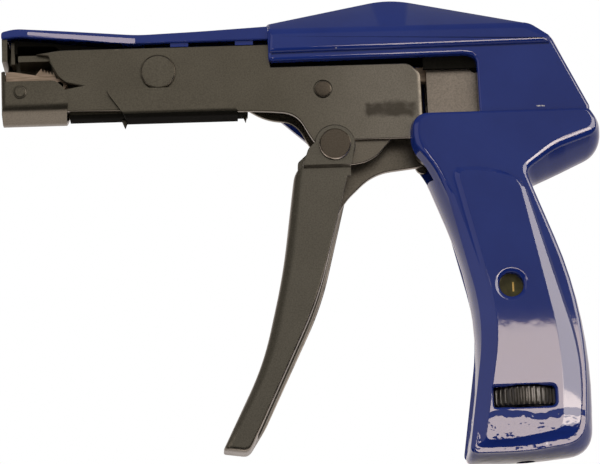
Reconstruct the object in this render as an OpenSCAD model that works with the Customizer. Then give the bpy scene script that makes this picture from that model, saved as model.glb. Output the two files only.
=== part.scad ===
// Cable tie tensioning tool: a trigger-worked gun with a steel barrel and two cast housing halves.
// X runs from the nose (minus) to the tail of the grip (plus), Y across the tool, Z up.
// The origin is under the middle of the tool, at the foot of the grip. Millimetres.

/* [Overall size] */
// Length from the nose cap to the tail over the hand
tool_l = 166; // [150:1:182]
// Height from the foot of the grip to the ridge of the housing
tool_h = 132.5; // [120:0.5:145]

/* [Housing halves] */
// Half thickness of the tool over the raised grip panels
panel_half = 11; // [10.4:0.1:13]
// Half thickness over the rest of the grip
grip_half = 10; // [9.4:0.1:12]
// Half thickness over the raised band of the upper housing
band_half = 9.6; // [9.2:0.1:11]
// Half thickness of the upper housing beside the window
cover_half = 8.7; // [8.4:0.1:10]
// Depth of the rounded edge round the grip
edge_round = 1.2; // [0.6:0.1:2]
// Diameter of the number window
window_d = 6.7; // [5:0.1:8]
// Width of the dished ring round the number window
dish_w = 1.3; // [0.8:0.1:2]
// Depth of the dished ring
dish_depth = 0.35; // [0.2:0.05:0.6]

/* [Barrel frame] */
// Inside distance between the two side plates
gap_w = 9.2; // [8.8:0.1:10]
// Thickness of the side plates
plate_t = 1.5; // [1.2:0.1:1.8]
// Thickness of the folded channel under the barrel
channel_t = 1.2; // [0.8:0.1:1.5]
// Thickness of the nose cap and the saddle clip
sheet_t = 1.1; // [0.8:0.1:1.3]

// Thickness of the liner inside the near side plate
liner_t = 1.5; // [1:0.1:1.6]
// Diameter of the rivet behind the barrel
rivet_d = 4; // [3:0.1:4.2]
// Diameter of that rivet's head
rivet_head_d = 4.8; // [4.4:0.1:6]
// Diameter of the pin through the nose
nose_pin_d = 3; // [2.4:0.1:3.6]

/* [Trigger] */
// Thickness of the pressed steel trigger
trigger_t = 1.5; // [1.2:0.1:1.8]
// Diameter of the rounded ears on the trigger pin
ear_d = 11.4; // [10.6:0.1:12]
// How far the trigger turns when it is squeezed, in degrees
trigger_turn = 28; // [15:1:30]
// Diameter of the trigger pin
trigger_pin_d = 6; // [5:0.1:6.4]
// Diameter of the trigger pin's head
trigger_head_d = 8.7; // [8:0.1:9.4]
// Distance from the trigger pin to the arm pin
arm_l = 27; // [25:0.5:28]

/* [Pull rod and gripper] */
// Thickness of the pull rod
rod_t = 3; // [2.4:0.1:3.4]
// Diameter of the crank's pin
crank_pin_d = 5; // [4:0.1:5.2]
// Length of the crank's upper arm
crank_l = 14.5; // [13:0.1:15]
// Teeth on the gripper
teeth = 5; // [4:1:6]
// Height of the gripper's teeth
tooth_h = 0.7; // [0.4:0.05:0.9]

/* [Cut-off lever] */
// How far the cut-off lever tips, in degrees
cut_turn = 3.2; // [2:0.1:3.4]
// Thickness of the blade
blade_t = 1; // [0.8:0.1:1.2]
// Diameter of the lever pin
lever_pin_d = 5; // [4:0.1:5.4]
// Diameter of the lever pin's head
lever_head_d = 9.6; // [8.6:0.1:10]

/* [Tension adjuster] */
// Length of the slot that shows the thumbwheel
slot_l = 17; // [14:0.5:18]
// Height of that slot
slot_h = 6.3; // [5.6:0.1:7]
// Diameter of the ribbed thumbwheel
wheel_d = 21.6; // [20:0.1:21.8]
// Thickness of the thumbwheel
wheel_t = 4.6; // [4:0.1:5]
// Ribs round the thumbwheel
wheel_ribs = 44; // [36:1:60]
// Diameter of the adjusting screw
screw_d = 4; // [3.4:0.1:4.4]
// Travel of the spring nut from the lowest setting to the highest
nut_travel = 12; // [8:0.5:12]
// Outside diameter of the tension spring
spring_d = 8.6; // [8:0.1:9]
// Wire of the tension spring
spring_wire = 1.3; // [1:0.05:1.4]
// Coils of the tension spring
spring_coils = 13; // [10:1:14]

/* [Hidden] */
$fn = 48;

// Clearances: a pin running in a hole, a moving piece beside a fixed one, a loose slot,
// and the overrun of every cut
run_fit = 0.06;
play = 0.3;
slot_play = 0.5;
over = 0.2;

// Levels across the tool, as distances from the middle plane
plate_in = gap_w / 2;
plate_out = plate_in + plate_t;
cap_out = plate_out + sheet_t;
ear_in = plate_out + play / 2;
ear_out = ear_in + trigger_t;
head_t = 0.9;
rivet_head_t = 0.5;

// Points of the mechanism as shares of the length and the height
pivot_share = [0.5518, 0.6717];
lever_share = [0.2614, 0.8408];
rivet_share = [0.536, 0.7947];
nose_pin_share = [0.0313, 0.8038];
crank_share = [0.822, 0.7321];
wheel_share = [0.8452, 0.1253];
window_share = [0.8307, 0.3592];
pawl_share = [0.0964, 0.8258];
link_share = [0.8488, 0.8717];
screw_shares = [[0.9337, 0.6981], [0.7801, 0.5132], [0.7922, 0.0566], [0.9157, 0.0604], [0.9187, 0.8075]];
arm_rivet_shares = [[0.5373, 0.5404], [0.553, 0.5925]];

function at(share) = [(share[0] - 1 / 2) * tool_l, share[1] * tool_h];
pivot = at(pivot_share);
lever_at = at(lever_share);
rivet_at = at(rivet_share);
nose_pin_at = at(nose_pin_share);
crank_at = at(crank_share);
wheel_at = at(wheel_share);
window_at = at(window_share);
pawl_at = at(pawl_share);
link_at = at(link_share);

// The trigger's arm starts a little below level, and drives the crank's front arm
arm_dip = 2;
arm_at = pivot + arm_l * [cos(arm_dip), -sin(arm_dip)];
arm_end = pivot + arm_l * [cos(trigger_turn - arm_dip), sin(trigger_turn - arm_dip)];
function bearing(v) = atan2(v[1], v[0]);
front_arm = norm(arm_at - crank_at);
front_arm_end = norm(arm_end - crank_at);
front_dir = (arm_at - crank_at) / front_arm;
sweep_raw = bearing(crank_at - arm_at) - bearing(crank_at - arm_end);
crank_turn = sweep_raw;
crank_lean = crank_turn / 2;
yoke_pin_at = crank_at + crank_l * [-sin(crank_lean), cos(crank_lean)];
rod_travel = 2 * crank_l * sin(crank_lean);
echo(arm_at = arm_at, front_arm = front_arm, front_arm_end = front_arm_end);
echo(crank_turn = crank_turn, yoke_pin_at = yoke_pin_at, rod_travel = rod_travel);

// Outline tools: each row is [x share, z share, corner share]; the corner is a smooth curve that
// starts and ends that far from the corner point, or nearer where two corners would meet
corner_steps = 5;
least_corner = 0.15;
function flat(p) = [p[0], p[1]];
function unit(v) = v / norm(v);
function wrap(list, i) = list[(i + len(list)) % len(list)];
function outline(rows) = [for (r = rows) concat(at(r), r[2] * tool_l)];
fair_share = 0.98;
function fair(a, b) = fair_share * norm(flat(a) - flat(b)) / (a[2] + b[2]);
function corner(a, b, c) =
  let (reach = b[2] * min(1, fair(a, b), fair(b, c)))
  [
    for (k = [0 : corner_steps - 1])
      let (s = k / (corner_steps - 1))
      flat(b) + unit(flat(a - b)) * reach * pow(1 - s, 2) + unit(flat(c - b)) * reach * pow(s, 2)
  ];
function soften(points) = [
  for (i = [0 : len(points) - 1])
    for (p = corner(wrap(points, i - 1), points[i], wrap(points, i + 1)))
      p
];

// The same outline drawn in from its edge all round, with its corners tightened to match
function turned(v) = [-v[1], v[0]];
function drawn_in(points, by) = [
  for (i = [0 : len(points) - 1])
    let (
      b = points[i],
      u = unit(flat(b - wrap(points, i - 1))),
      v = unit(flat(wrap(points, i + 1) - b)),
      bend = atan2(u[0] * v[1] - u[1] * v[0], u * v),
      p = flat(b) + by * (turned(u) + turned(v)) / (1 + u * v)
    )
    [p[0], p[1], max(b[2] - by * tan(bend / 2), least_corner)]
];
function blend(a, b, s) = [for (i = [0 : len(a) - 1]) a[i] + (b[i] - a[i]) * s];

// Triangles that fill an outline which may be hollow in places: one ear is cut off after another
least_ear = 0.000001;
function side_of(a, b, c) = (b[0] - a[0]) * (c[1] - a[1]) - (b[1] - a[1]) * (c[0] - a[0]);
function covers(a, b, c, p) = side_of(a, b, p) >= 0 && side_of(b, c, p) >= 0 && side_of(c, a, p) >= 0;
function bend_at_point(path, left, k) =
  side_of(path[wrap(left, k - 1)], path[left[k]], path[wrap(left, k + 1)]);
function is_clear(path, a, b, c, hollow) =
  len([for (h = hollow) if (h != a && h != c && covers(path[a], path[b], path[c], path[h])) h]) == 0;
function filled(path, left) =
  len(left) == 3
    ? [left]
    : let (
        hollow = [for (k = [0 : len(left) - 1]) if (bend_at_point(path, left, k) <= 0) left[k]],
        cut = [
          for (k = [0 : len(left) - 1])
            if (bend_at_point(path, left, k) > least_ear)
              if (is_clear(path, wrap(left, k - 1), left[k], wrap(left, k + 1), hollow)) k
        ][0]
      )
      concat(
        [[wrap(left, cut - 1), left[cut], wrap(left, cut + 1)]],
        filled(path, [for (k = [0 : len(left) - 1]) if (k != cut) left[k]])
      );

// A solid through outlines that stand one behind another across the tool, nearest first
module loft(outlines, depths) {
  rings = [for (o = outlines) soften(o)];
  n = len(rings[0]);
  last = len(rings) - 1;
  points = [for (r = [0 : last]) for (p = rings[r]) [p[0], depths[r], p[1]]];
  sides = [
    for (r = [0 : last - 1])
      for (i = [0 : n - 1])
        let (a = r * n + i, b = r * n + (i + 1) % n)
        for (f = [[a, b, b + n], [a, b + n, a + n]]) f
  ];
  order = [for (i = [0 : n - 1]) i];
  front = [for (f = filled(rings[0], order)) [f[2], f[1], f[0]]];
  back = [for (f = filled(rings[last], order)) [for (k = f) last * n + k]];
  polyhedron(points, concat(front, sides, back), convexity = 6);
}

// Flat work: an outline in X and Z, from one level across the tool to another
module slab(low, high) {
  translate([0, high, 0])
    rotate([90, 0, 0])
      linear_extrude(high - low) children();
}
module plate(rows, low, high) {
  slab(low, high) polygon(soften(outline(rows)));
}
module block(a, b, low, high) {
  p = at(a);
  q = at(b);
  slab(low, high) polygon([p, [q[0], p[1]], q, [p[0], q[1]]]);
}
module cross_pin(where, d, low, high) {
  translate([where[0], high, where[1]])
    rotate([90, 0, 0])
      cylinder(d = d, h = high - low);
}
module upright(where, d, low, high) {
  translate([where, 0, low]) cylinder(d = d, h = high - low);
}
module disc(where, d) {
  translate(where) circle(d = d);
}

// Upper housing, near half, at its face: round the window, down to the grip, up the back, along the bevel
cover_face_share = [
  [0.4464, 0.8543, 0.0072], [0.7729, 0.8589, 0.0048], [0.7952, 0.8543, 0.0157],
  [0.7958, 0.72, 0.0036], [0.9771, 0.72, 0.0036], [0.9813, 0.7351, 0.006],
  [0.9217, 0.8921, 0.0096], [0.8855, 0.9185, 0.012], [0.6566, 0.9238, 0.0241],
  [0.4464, 0.92, 0.006]
];

// The same outline at the parting plane, where the roof stands highest
cover_part_share = [
  [0.4452, 0.8543, 0.0072], [0.7729, 0.8589, 0.0048], [0.7952, 0.8543, 0.0157],
  [0.7958, 0.72, 0.0036], [0.9843, 0.72, 0.0036], [0.9873, 0.7411, 0.006],
  [0.9313, 0.9072, 0.012], [0.8964, 0.9374, 0.012], [0.6566, 1, 0.0361],
  [0.4452, 0.9509, 0.0072]
];

// Upper housing, far half: closed, and reaching lower in front of the trigger
shell_face_share = [
  [0.4464, 0.7743, 0.006], [0.5217, 0.6898, 0.006], [0.5843, 0.723, 0.0181],
  [0.7349, 0.72, 0.006], [0.9771, 0.72, 0.0036], [0.9813, 0.7351, 0.006],
  [0.9217, 0.8921, 0.0096], [0.8855, 0.9185, 0.012], [0.6566, 0.9238, 0.0241],
  [0.4464, 0.92, 0.006]
];

// The far half at the parting plane
shell_part_share = [
  [0.4452, 0.7713, 0.006], [0.5235, 0.6853, 0.006], [0.5843, 0.72, 0.0181],
  [0.7349, 0.72, 0.006], [0.9843, 0.72, 0.0036], [0.9873, 0.7411, 0.006],
  [0.9313, 0.9072, 0.012], [0.8964, 0.9374, 0.012], [0.6566, 1, 0.0361],
  [0.4452, 0.9509, 0.0072]
];

// Raised band along the top of the upper housing: its foot and its face
band_foot_share = [
  [0.448, 0.8702, 0.003], [0.9211, 0.877, 0.0015], [0.9205, 0.8921, 0.0048],
  [0.8855, 0.9223, 0.012], [0.448, 0.9238, 0.0036]
];

// Face of the raised band, up to the crease where the roof starts
band_face_share = [
  [0.45, 0.874, 0.003], [0.9133, 0.8808, 0.0015], [0.912, 0.8883, 0.0036],
  [0.8753, 0.9125, 0.012], [0.4524, 0.9132, 0.0036]
];

// Grip at its face: front corner, front edge, foot, back edge, and the tail over the hand
grip_face_share = [
  [0.6825, 0.7313, 0.0277], [0.6819, 0.6642, 0.0205], [0.7145, 0.6113, 0.0241],
  [0.8012, 0.3396, 0.1687], [0.7524, 0.0128, 0.0108], [0.8434, 0.0128, 0.0301],
  [0.9386, 0.0302, 0.0331], [0.9578, 0.2868, 0.1446], [0.8663, 0.6008, 0.0133],
  [0.9187, 0.646, 0.0181], [0.988, 0.6762, 0.0133], [0.9904, 0.7064, 0.0108],
  [0.9783, 0.7313, 0.006]
];

// Grip at the parting plane
grip_part_share = [
  [0.6783, 0.7313, 0.0277], [0.6747, 0.6566, 0.0205], [0.7024, 0.6098, 0.0241],
  [0.794, 0.3019, 0.1687], [0.747, 0, 0.0145], [0.8554, 0, 0.0301], [0.9554, 0.0121, 0.0392],
  [0.9639, 0.2868, 0.1446], [0.8759, 0.5796, 0.0145], [0.9247, 0.6053, 0.0181],
  [1, 0.6491, 0.0301], [1, 0.7125, 0.0145], [0.9855, 0.7313, 0.006]
];

// Raised hand panel of the grip: its foot
panel_foot_share = [
  [0.7458, 0.603, 0.0157], [0.8054, 0.3396, 0.1566], [0.7605, 0.0226, 0.0096],
  [0.8434, 0.0226, 0.0301], [0.9313, 0.0377, 0.0265], [0.9542, 0.1962, 0.1],
  [0.8651, 0.5842, 0.0157], [0.8133, 0.6211, 0.0422]
];

// Hand panel: the edge of its flat top
panel_top_share = [
  [0.7627, 0.5992, 0.0145], [0.8205, 0.3245, 0.1566], [0.7741, 0.0408, 0.0096],
  [0.8554, 0.0468, 0.0301], [0.9253, 0.0709, 0.0181], [0.9506, 0.2038, 0.0904],
  [0.859, 0.5766, 0.0133], [0.8193, 0.6136, 0.0361]
];

// Pocket for the side plates
pocket_share = [
  [0.3735, 0.6038, 0.006], [0.5843, 0.6189, 0.006], [0.7108, 0.6189, 0.006],
  [0.7108, 0.8498, 0.006], [0.4518, 0.8498, 0.003], [0.3735, 0.8498, 0.006]
];

// Room for the cut-off lever under the roof
lever_room_share = [
  [0.4217, 0.8453, 0.003], [0.8928, 0.8453, 0.003], [0.8928, 0.9177, 0.006],
  [0.8614, 0.926, 0.012], [0.6566, 0.9404, 0.012], [0.4217, 0.9147, 0.003]
];

// Room for the crank, the yoke and the link behind the barrel
crank_room_share = [
  [0.6892, 0.5992, 0.012], [0.738, 0.5826, 0.012], [0.8759, 0.634, 0.012],
  [0.894, 0.6792, 0.006], [0.894, 0.8528, 0.003], [0.694, 0.8528, 0.003], [0.694, 0.6792, 0.006]
];

// Room for the tension spring and its nut in the grip
spring_room_share = [
  [0.8145, 0.1555, 0.006], [0.8819, 0.1555, 0.006], [0.8819, 0.3925, 0.0241],
  [0.8729, 0.5057, 0.0241], [0.8627, 0.5585, 0.0181], [0.8627, 0.6491, 0.006],
  [0.8277, 0.6491, 0.006], [0.8145, 0.5283, 0.0361], [0.8145, 0.3774, 0.0181]
];

// Near side plate: top edge, step under the housing, back, throat, nose under the cap, slit, front
plate_near_share = [
  [0.0789, 0.883, 0.0024], [0.0819, 0.8679, 0.0048], [0.0946, 0.837, 0.0048],
  [0.1072, 0.8242, 0.0024], [0.1331, 0.8166, 0.0012], [0.1, 0.8091, 0.0036],
  [0.0482, 0.8075, 0.0036], [0.0482, 0.7804, 0.0036], [0.4036, 0.7804, 0.0084],
  [0.4398, 0.7509, 0.0241], [0.4904, 0.7442, 0.0241], [0.5114, 0.6943, 0.0096],
  [0.5277, 0.6642, 0.006], [0.5518, 0.6528, 0.006], [0.5663, 0.6838, 0.0036],
  [0.7006, 0.6838, 0.003], [0.7006, 0.8242, 0.0072], [0.6819, 0.846, 0.0084],
  [0.4494, 0.846, 0.0018], [0.4494, 0.8951, 0.0018], [0.0988, 0.8951, 0.012],
  [0.0572, 0.8875, 0.0036]
];

// Far side plate: it runs on to the nose, closes the tie slot, and has a tang inside the grip
plate_far_share = [
  [0.0205, 0.7804, 0.006], [0.4036, 0.7804, 0.0084], [0.4398, 0.7509, 0.0241],
  [0.4904, 0.7442, 0.0241], [0.5114, 0.6943, 0.0096], [0.5277, 0.6642, 0.006],
  [0.5518, 0.6528, 0.006], [0.5663, 0.6838, 0.0036], [0.6771, 0.6792, 0.0108],
  [0.694, 0.6264, 0.0084], [0.7096, 0.6234, 0.0084], [0.7084, 0.8242, 0.0072],
  [0.6819, 0.846, 0.0084], [0.4494, 0.846, 0.0018], [0.4494, 0.8951, 0.0018],
  [0.0988, 0.8951, 0.012], [0.0205, 0.886, 0.006]
];

// Liner plate inside the near side plate, with its round lower end
liner_share = [
  [0.512, 0.7623, 0.0181], [0.5277, 0.6672, 0.0181], [0.5723, 0.6309, 0.012],
  [0.6145, 0.6385, 0.0241], [0.6602, 0.7019, 0.0241], [0.6566, 0.7894, 0.012],
  [0.5663, 0.8045, 0.012]
];

// Pull rod: lug for the gripper, low past the lever pin, stepped up over the frame rivet
rod_share = [
  [0.0759, 0.8091, 0.0036], [0.0759, 0.7826, 0.006], [0.3795, 0.7826, 0.012],
  [0.4277, 0.8143, 0.012], [0.741, 0.8143, 0.0036], [0.741, 0.8445, 0.0036],
  [0.4157, 0.8445, 0.012], [0.3675, 0.8128, 0.012], [0.1133, 0.8128, 0.0048],
  [0.1072, 0.837, 0.006], [0.0855, 0.837, 0.006], [0.0831, 0.8166, 0.003]
];

// Cut-off lever, side on, with the lip that carries the blade
lever_side_share = [
  [0.0223, 0.8921, 0.0018], [0.0271, 0.8921, 0.0018], [0.0271, 0.9102, 0.0036],
  [0.0904, 0.9072, 0.006], [0.1265, 0.8649, 0.012], [0.2169, 0.8121, 0.0181],
  [0.2807, 0.803, 0.012], [0.2988, 0.8574, 0.012], [0.6145, 0.8611, 0.012],
  [0.8651, 0.8596, 0.006], [0.8651, 0.8845, 0.006], [0.7349, 0.8921, 0.0241],
  [0.6145, 0.8966, 0.0241], [0.2289, 0.8936, 0.0241], [0.0223, 0.9223, 0.0018]
];

// Hollow under the top of the lever
lever_hollow_share = [
  [0.0934, 0.7849, 0.0018], [0.8855, 0.7849, 0.0018], [0.8855, 0.8747, 0.0018],
  [0.7349, 0.883, 0.0241], [0.6145, 0.8875, 0.0241], [0.2289, 0.8845, 0.0241],
  [0.0934, 0.9026, 0.0018]
];

// Upper jaw bar
jaw_share = [
  [0.0283, 0.8747, 0.0018], [0.0807, 0.8747, 0.0018], [0.0831, 0.8875, 0.0018],
  [0.0283, 0.8875, 0.0018]
];

// Bare steel ramp in the nose
ramp_share = [
  [0.0072, 0.7743, 0.003], [0.088, 0.7743, 0.003], [0.0892, 0.8355, 0.0018],
  [0.0566, 0.8468, 0.006], [0.0181, 0.8543, 0.0036], [0.0072, 0.8513, 0.0018]
];

// Nose cap, side on
cap_share = [
  [0, 0.7442, 0.0012], [0.106, 0.7442, 0.0012], [0.1108, 0.7774, 0.006],
  [0.106, 0.8106, 0.0108], [0.0892, 0.8279, 0.006], [0.0066, 0.8279, 0.0012],
  [0.0066, 0.8498, 0.0012], [0, 0.8498, 0.0012]
];

// Saddle clip, side on
clip_share = [
  [0.2096, 0.7396, 0.0024], [0.394, 0.7396, 0.0024], [0.3892, 0.7623, 0.0024],
  [0.359, 0.7751, 0.006], [0.2892, 0.8053, 0.006], [0.1747, 0.8068, 0.0048],
  [0.1783, 0.794, 0.0036], [0.1952, 0.7638, 0.0036]
];

// Blue cover over the barrel, side on
roof_line_share = [
  [0.0012, 0.9214, 0.003], [0.0289, 0.9253, 0.006], [0.2241, 0.9034, 0.0181],
  [0.4446, 0.9049, 0.0018], [0.4446, 0.9328, 0.0018], [0.3337, 0.926, 0.0241],
  [0.2289, 0.9215, 0.0181], [0.1024, 0.9351, 0.0241], [0.0241, 0.9426, 0.012],
  [0.0012, 0.9358, 0.0048]
];

// Hollow beneath the cover
roof_hollow_share = [
  [0.0096, 0.9177, 0.0018], [0.4464, 0.8906, 0.0018], [0.4464, 0.9223, 0.0018],
  [0.3337, 0.9162, 0.0181], [0.2289, 0.9117, 0.0181], [0.1024, 0.9253, 0.0181],
  [0.0181, 0.9328, 0.003], [0.0096, 0.9313, 0.0018]
];

// Gripper, side on, without its teeth
gripper_share = [
  [0.0964, 0.8075, 0.0072], [0.109, 0.8242, 0.006], [0.1012, 0.8377, 0.0036],
  [0.0843, 0.84, 0.0006], [0.056, 0.8506, 0.0006], [0.047, 0.8377, 0.0024],
  [0.047, 0.8272, 0.0036], [0.0687, 0.8121, 0.006]
];

// Arm plate riveted inside the trigger: down the channel, and back into the grip
arm_share = [
  [0.5217, 0.6717, 0.012], [0.5373, 0.6113, 0.012], [0.5133, 0.5208, 0.009],
  [0.5434, 0.5087, 0.009], [0.5675, 0.5645, 0.0181], [0.6181, 0.6234, 0.0301],
  [0.7036, 0.6355, 0.0145], [0.7386, 0.6536, 0.0145], [0.7349, 0.6928, 0.0145],
  [0.6627, 0.7034, 0.0181], [0.5819, 0.7155, 0.0145], [0.5301, 0.717, 0.0145]
];

// Trigger, side on, at the near flange
trig_near_share = [
  [0.4976, 0.634, 0.0036], [0.4952, 0.6113, 0.009], [0.4741, 0.4151, 0.0602],
  [0.4367, 0.2189, 0.0542], [0.3602, 0.0468, 0.0048], [0.3916, 0.0408, 0.0096],
  [0.412, 0.083, 0.012], [0.5157, 0.3509, 0.0542], [0.5759, 0.634, 0.0036]
];

// Trigger at its web
trig_mid_share = [
  [0.488, 0.6234, 0.0036], [0.4825, 0.6113, 0.009], [0.4584, 0.4075, 0.0602],
  [0.4205, 0.2189, 0.0542], [0.3494, 0.0423, 0.0048], [0.3916, 0.0347, 0.0096],
  [0.412, 0.083, 0.012], [0.5157, 0.3509, 0.0542], [0.5759, 0.634, 0.0036]
];

// Trigger at the far flange, which is a little wider
trig_far_share = [
  [0.4976, 0.634, 0.0036], [0.4952, 0.6113, 0.009], [0.4741, 0.4151, 0.0602],
  [0.4367, 0.2189, 0.0542], [0.3602, 0.0468, 0.0048], [0.394, 0.0408, 0.0096],
  [0.4217, 0.086, 0.012], [0.5253, 0.3472, 0.0542], [0.5855, 0.634, 0.0036]
];

// Hollow of the trigger, open at the back
trig_room_share = [
  [0.5012, 0.6792, 0.0024], [0.4952, 0.6264, 0.0036], [0.4681, 0.4113, 0.0602],
  [0.4301, 0.2234, 0.0542], [0.3759, 0.0906, 0.006], [0.4157, 0.0679, 0.006],
  [0.5422, 0.3472, 0.0542], [0.6145, 0.6792, 0.0024]
];

// Neck of the ear on the trigger pin
ear_neck_share = [
  [0.5036, 0.6325, 0.0024], [0.5771, 0.6325, 0.0024], [0.5855, 0.6747, 0.0036],
  [0.5723, 0.6943, 0.006], [0.5313, 0.6943, 0.006], [0.5175, 0.6762, 0.0036]
];

// Wire bent along a path: every point carries a ring, turned on from the one before without a twist
wire_sides = 6;
function carried(v, t) = unit(v - t * (v * t));
function heading(path, i) =
  unit(path[min(i + 1, len(path) - 1)] - path[max(i - 1, 0)]);
module wire(path, d, start) {
  n = len(path);
  frames = [
    for (i = 0, v = carried(start, heading(path, 0)); i < n;
      i = i + 1, v = i < n ? carried(v, heading(path, i)) : v) v
  ];
  points = [
    for (i = [0 : n - 1])
      let (v = frames[i], w = cross(heading(path, i), v))
      for (k = [0 : wire_sides - 1])
        path[i] + d / 2 * (v * cos(360 * k / wire_sides) + w * sin(360 * k / wire_sides))
  ];
  sides = [
    for (i = [0 : n - 2])
      for (k = [0 : wire_sides - 1])
        let (a = i * wire_sides + k, b = i * wire_sides + (k + 1) % wire_sides)
        for (f = [[a, a + wire_sides, b], [b, a + wire_sides, b + wire_sides]]) f
  ];
  ends = [
    [for (k = [0 : wire_sides - 1]) k],
    [for (k = [wire_sides - 1 : -1 : 0]) (n - 1) * wire_sides + k]
  ];
  polyhedron(points, concat(ends, sides), convexity = 8);
}

// Casting colours and sheet colours
blue = "#1f2f86";
steel = "#4a4840";
dark = "#2b2b26";
bare = "#b9a998";

// One housing half, near side: the upper housing with its raised band, the grip with its hand panel
edge_steps = 3;
upper_round = 0.8;
full_at_share = 0.4;
full_share = 0.85;
panel_foot_in = 0.8;
root_in = 1;
root_depth = 2.6;
module cast(face, part, half, round) {
  edges = [for (k = [0 : edge_steps]) 90 * k / edge_steps];
  loft(
    concat(
      [for (a = edges) drawn_in(face, round * (1 - sin(a)))],
      [blend(face, part, full_share), part]
    ),
    concat([for (a = edges) -half + round * (1 - cos(a))], [-half * full_at_share, 0])
  );
}
module casting(upper_face, upper_part) {
  band_foot = outline(band_foot_share);
  panel_foot = outline(panel_foot_share);
  cast(outline(upper_face), outline(upper_part), cover_half, upper_round);
  loft(
    [outline(band_face_share), band_foot, drawn_in(band_foot, root_in)],
    [-band_half, -cover_half + upper_round / 2, -cover_half + root_depth]
  );
  cast(outline(grip_face_share), outline(grip_part_share), grip_half, edge_round);
  loft(
    [outline(panel_top_share), panel_foot, drawn_in(panel_foot, root_in)],
    [-panel_half, -grip_half + panel_foot_in, -grip_half + root_depth]
  );
}

// Rooms inside a half, and the slot for the thumbwheel
lever_room_half = 6;
crank_room_half = 6.2;
spring_room_half = 8.2;
wheel_gap = 0.5;
blind_depth = 8;
screw_bore_d = 5.2;
screw_bore_top_share = 0.5;
slot_gap = 0.4;
wheel_low = wheel_at[1] - wheel_t / 2;
wheel_high = wheel_at[1] + wheel_t / 2;
bush_d = 7.6;
bush_l = 5;
bush_low = wheel_low - slot_gap - bush_l;
module rooms() {
  plate(pocket_share, -plate_out, over);
  plate(lever_room_share, -lever_room_half, over);
  plate(crank_room_share, -crank_room_half, over);
  plate(spring_room_share, -spring_room_half, over);
  upright(wheel_at[0], wheel_d + 2 * wheel_gap, wheel_low - slot_gap, wheel_high + slot_gap);
  upright(wheel_at[0], screw_bore_d, -over, screw_bore_top_share * tool_h);
  upright(wheel_at[0], bush_d, bush_low, wheel_low);
  translate([wheel_at[0] - slot_l / 2, -panel_half - over, wheel_at[1] - slot_h / 2])
    cube([slot_l, panel_half + over, slot_h]);
}

// Screws that hold the halves together, driven from the far side
screw_shank_d = 3;
screw_head_d = 5.4;
screw_head_h = 2;
screw_sunk = 2.6;
screw_reach = 6;
module screw_seats() {
  for (s = screw_shares) {
    cross_pin(at(s), screw_shank_d, -blind_depth - panel_half, over);
    cross_pin(at(s), screw_head_d, -panel_half - over, -screw_seat_at);
  }
}

module housing_left() {
  color(blue)
    difference() {
      casting(cover_face_share, cover_part_share);
      rooms();
      for (s = screw_shares) cross_pin(at(s), screw_shank_d, -screw_reach, over);
      block(card_low_share, card_high_share, -spring_room_half, -spring_room_half / 2);
      cross_pin(window_at, window_d, -panel_half - over, -spring_room_half + over);
      translate([window_at[0], -panel_half - over / 4, window_at[1]])
        rotate([-90, 0, 0])
          cylinder(d1 = window_d + 2 * dish_w, d2 = window_d, h = dish_depth * 3);
    }
}
module housing_right() {
  color(blue)
    mirror([0, 1, 0])
      difference() {
        casting(shell_face_share, shell_part_share);
        rooms();
        screw_seats();
        cross_pin(crank_at, crank_pin_d, -blind_depth, over);
        cross_pin(pivot, ear_d + 4 * play, -ear_out - play, over);
      }
}
screw_seat_at = cover_half - screw_sunk;
module housing_screws() {
  color(steel)
    for (s = screw_shares) {
      cross_pin(at(s), screw_shank_d, -screw_reach, screw_seat_at);
      difference() {
        cross_pin(at(s), screw_head_d, screw_seat_at, screw_seat_at + screw_head_h);
        translate([at(s)[0], screw_seat_at + screw_head_h, at(s)[1]])
          cube([screw_head_d, screw_head_h, screw_head_h / 3], center = true);
      }
    }
}

// Blue cover over the barrel: bevelled along its edges, hollow beneath, on two feet
cover_strip_half = 7;
strip_bevel = 0.85;
strip_wall = 1.4;
foot_shares = [[[0.2831, 0.8951], [0.3132, 0.9087]], [[0.3916, 0.8951], [0.4217, 0.9125]]];
module barrel_cover() {
  full = outline(roof_line_share);
  rim = drawn_in(full, strip_bevel);
  color(blue) {
    difference() {
      loft(
        [rim, full, full, rim],
        [
          -cover_strip_half, -cover_strip_half + strip_bevel,
          cover_strip_half - strip_bevel, cover_strip_half
        ]
      );
      plate(roof_hollow_share, -cover_strip_half + strip_wall, cover_strip_half - strip_wall);
    }
    for (f = foot_shares)
      for (low = [-cover_strip_half + strip_wall / 2, plate_in])
        block(f[0], f[1], low, low + cover_strip_half - strip_wall / 2 - plate_in);
  }
}

module side_plate_left() {
  color(steel)
    difference() {
      plate(plate_near_share, -plate_out, -plate_in);
      cross_pin(pivot, trigger_pin_d, -cap_out, 0);
      cross_pin(lever_at, lever_pin_d, -cap_out, 0);
      cross_pin(rivet_at, rivet_d, -cap_out, 0);
    }
}
module side_plate_right() {
  color(steel)
    difference() {
      plate(plate_far_share, plate_in, plate_out);
      cross_pin(pivot, trigger_pin_d, 0, cap_out);
      cross_pin(lever_at, lever_pin_d, 0, cap_out);
      cross_pin(rivet_at, rivet_d, 0, cap_out);
      cross_pin(nose_pin_at, nose_pin_d, 0, cap_out);
    }
}

// Folded sheet running along the tool, open at the top: outside half width, floor, top, thickness
module fold(half, floor_z, top_z, t, reach, from_x, to_x) {
  high = top_z + 2 * t;
  rim = [[-half, floor_z, reach], [half, floor_z, reach], [half, high, over], [-half, high, over]];
  translate([from_x, 0, 0])
    rotate([90, 0, 90])
      linear_extrude(to_x - from_x)
        difference() {
          polygon(soften(rim));
          polygon(soften(drawn_in(rim, t)));
          translate([-half - over, top_z]) square([2 * (half + over), 3 * t]);
        }
}

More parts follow.
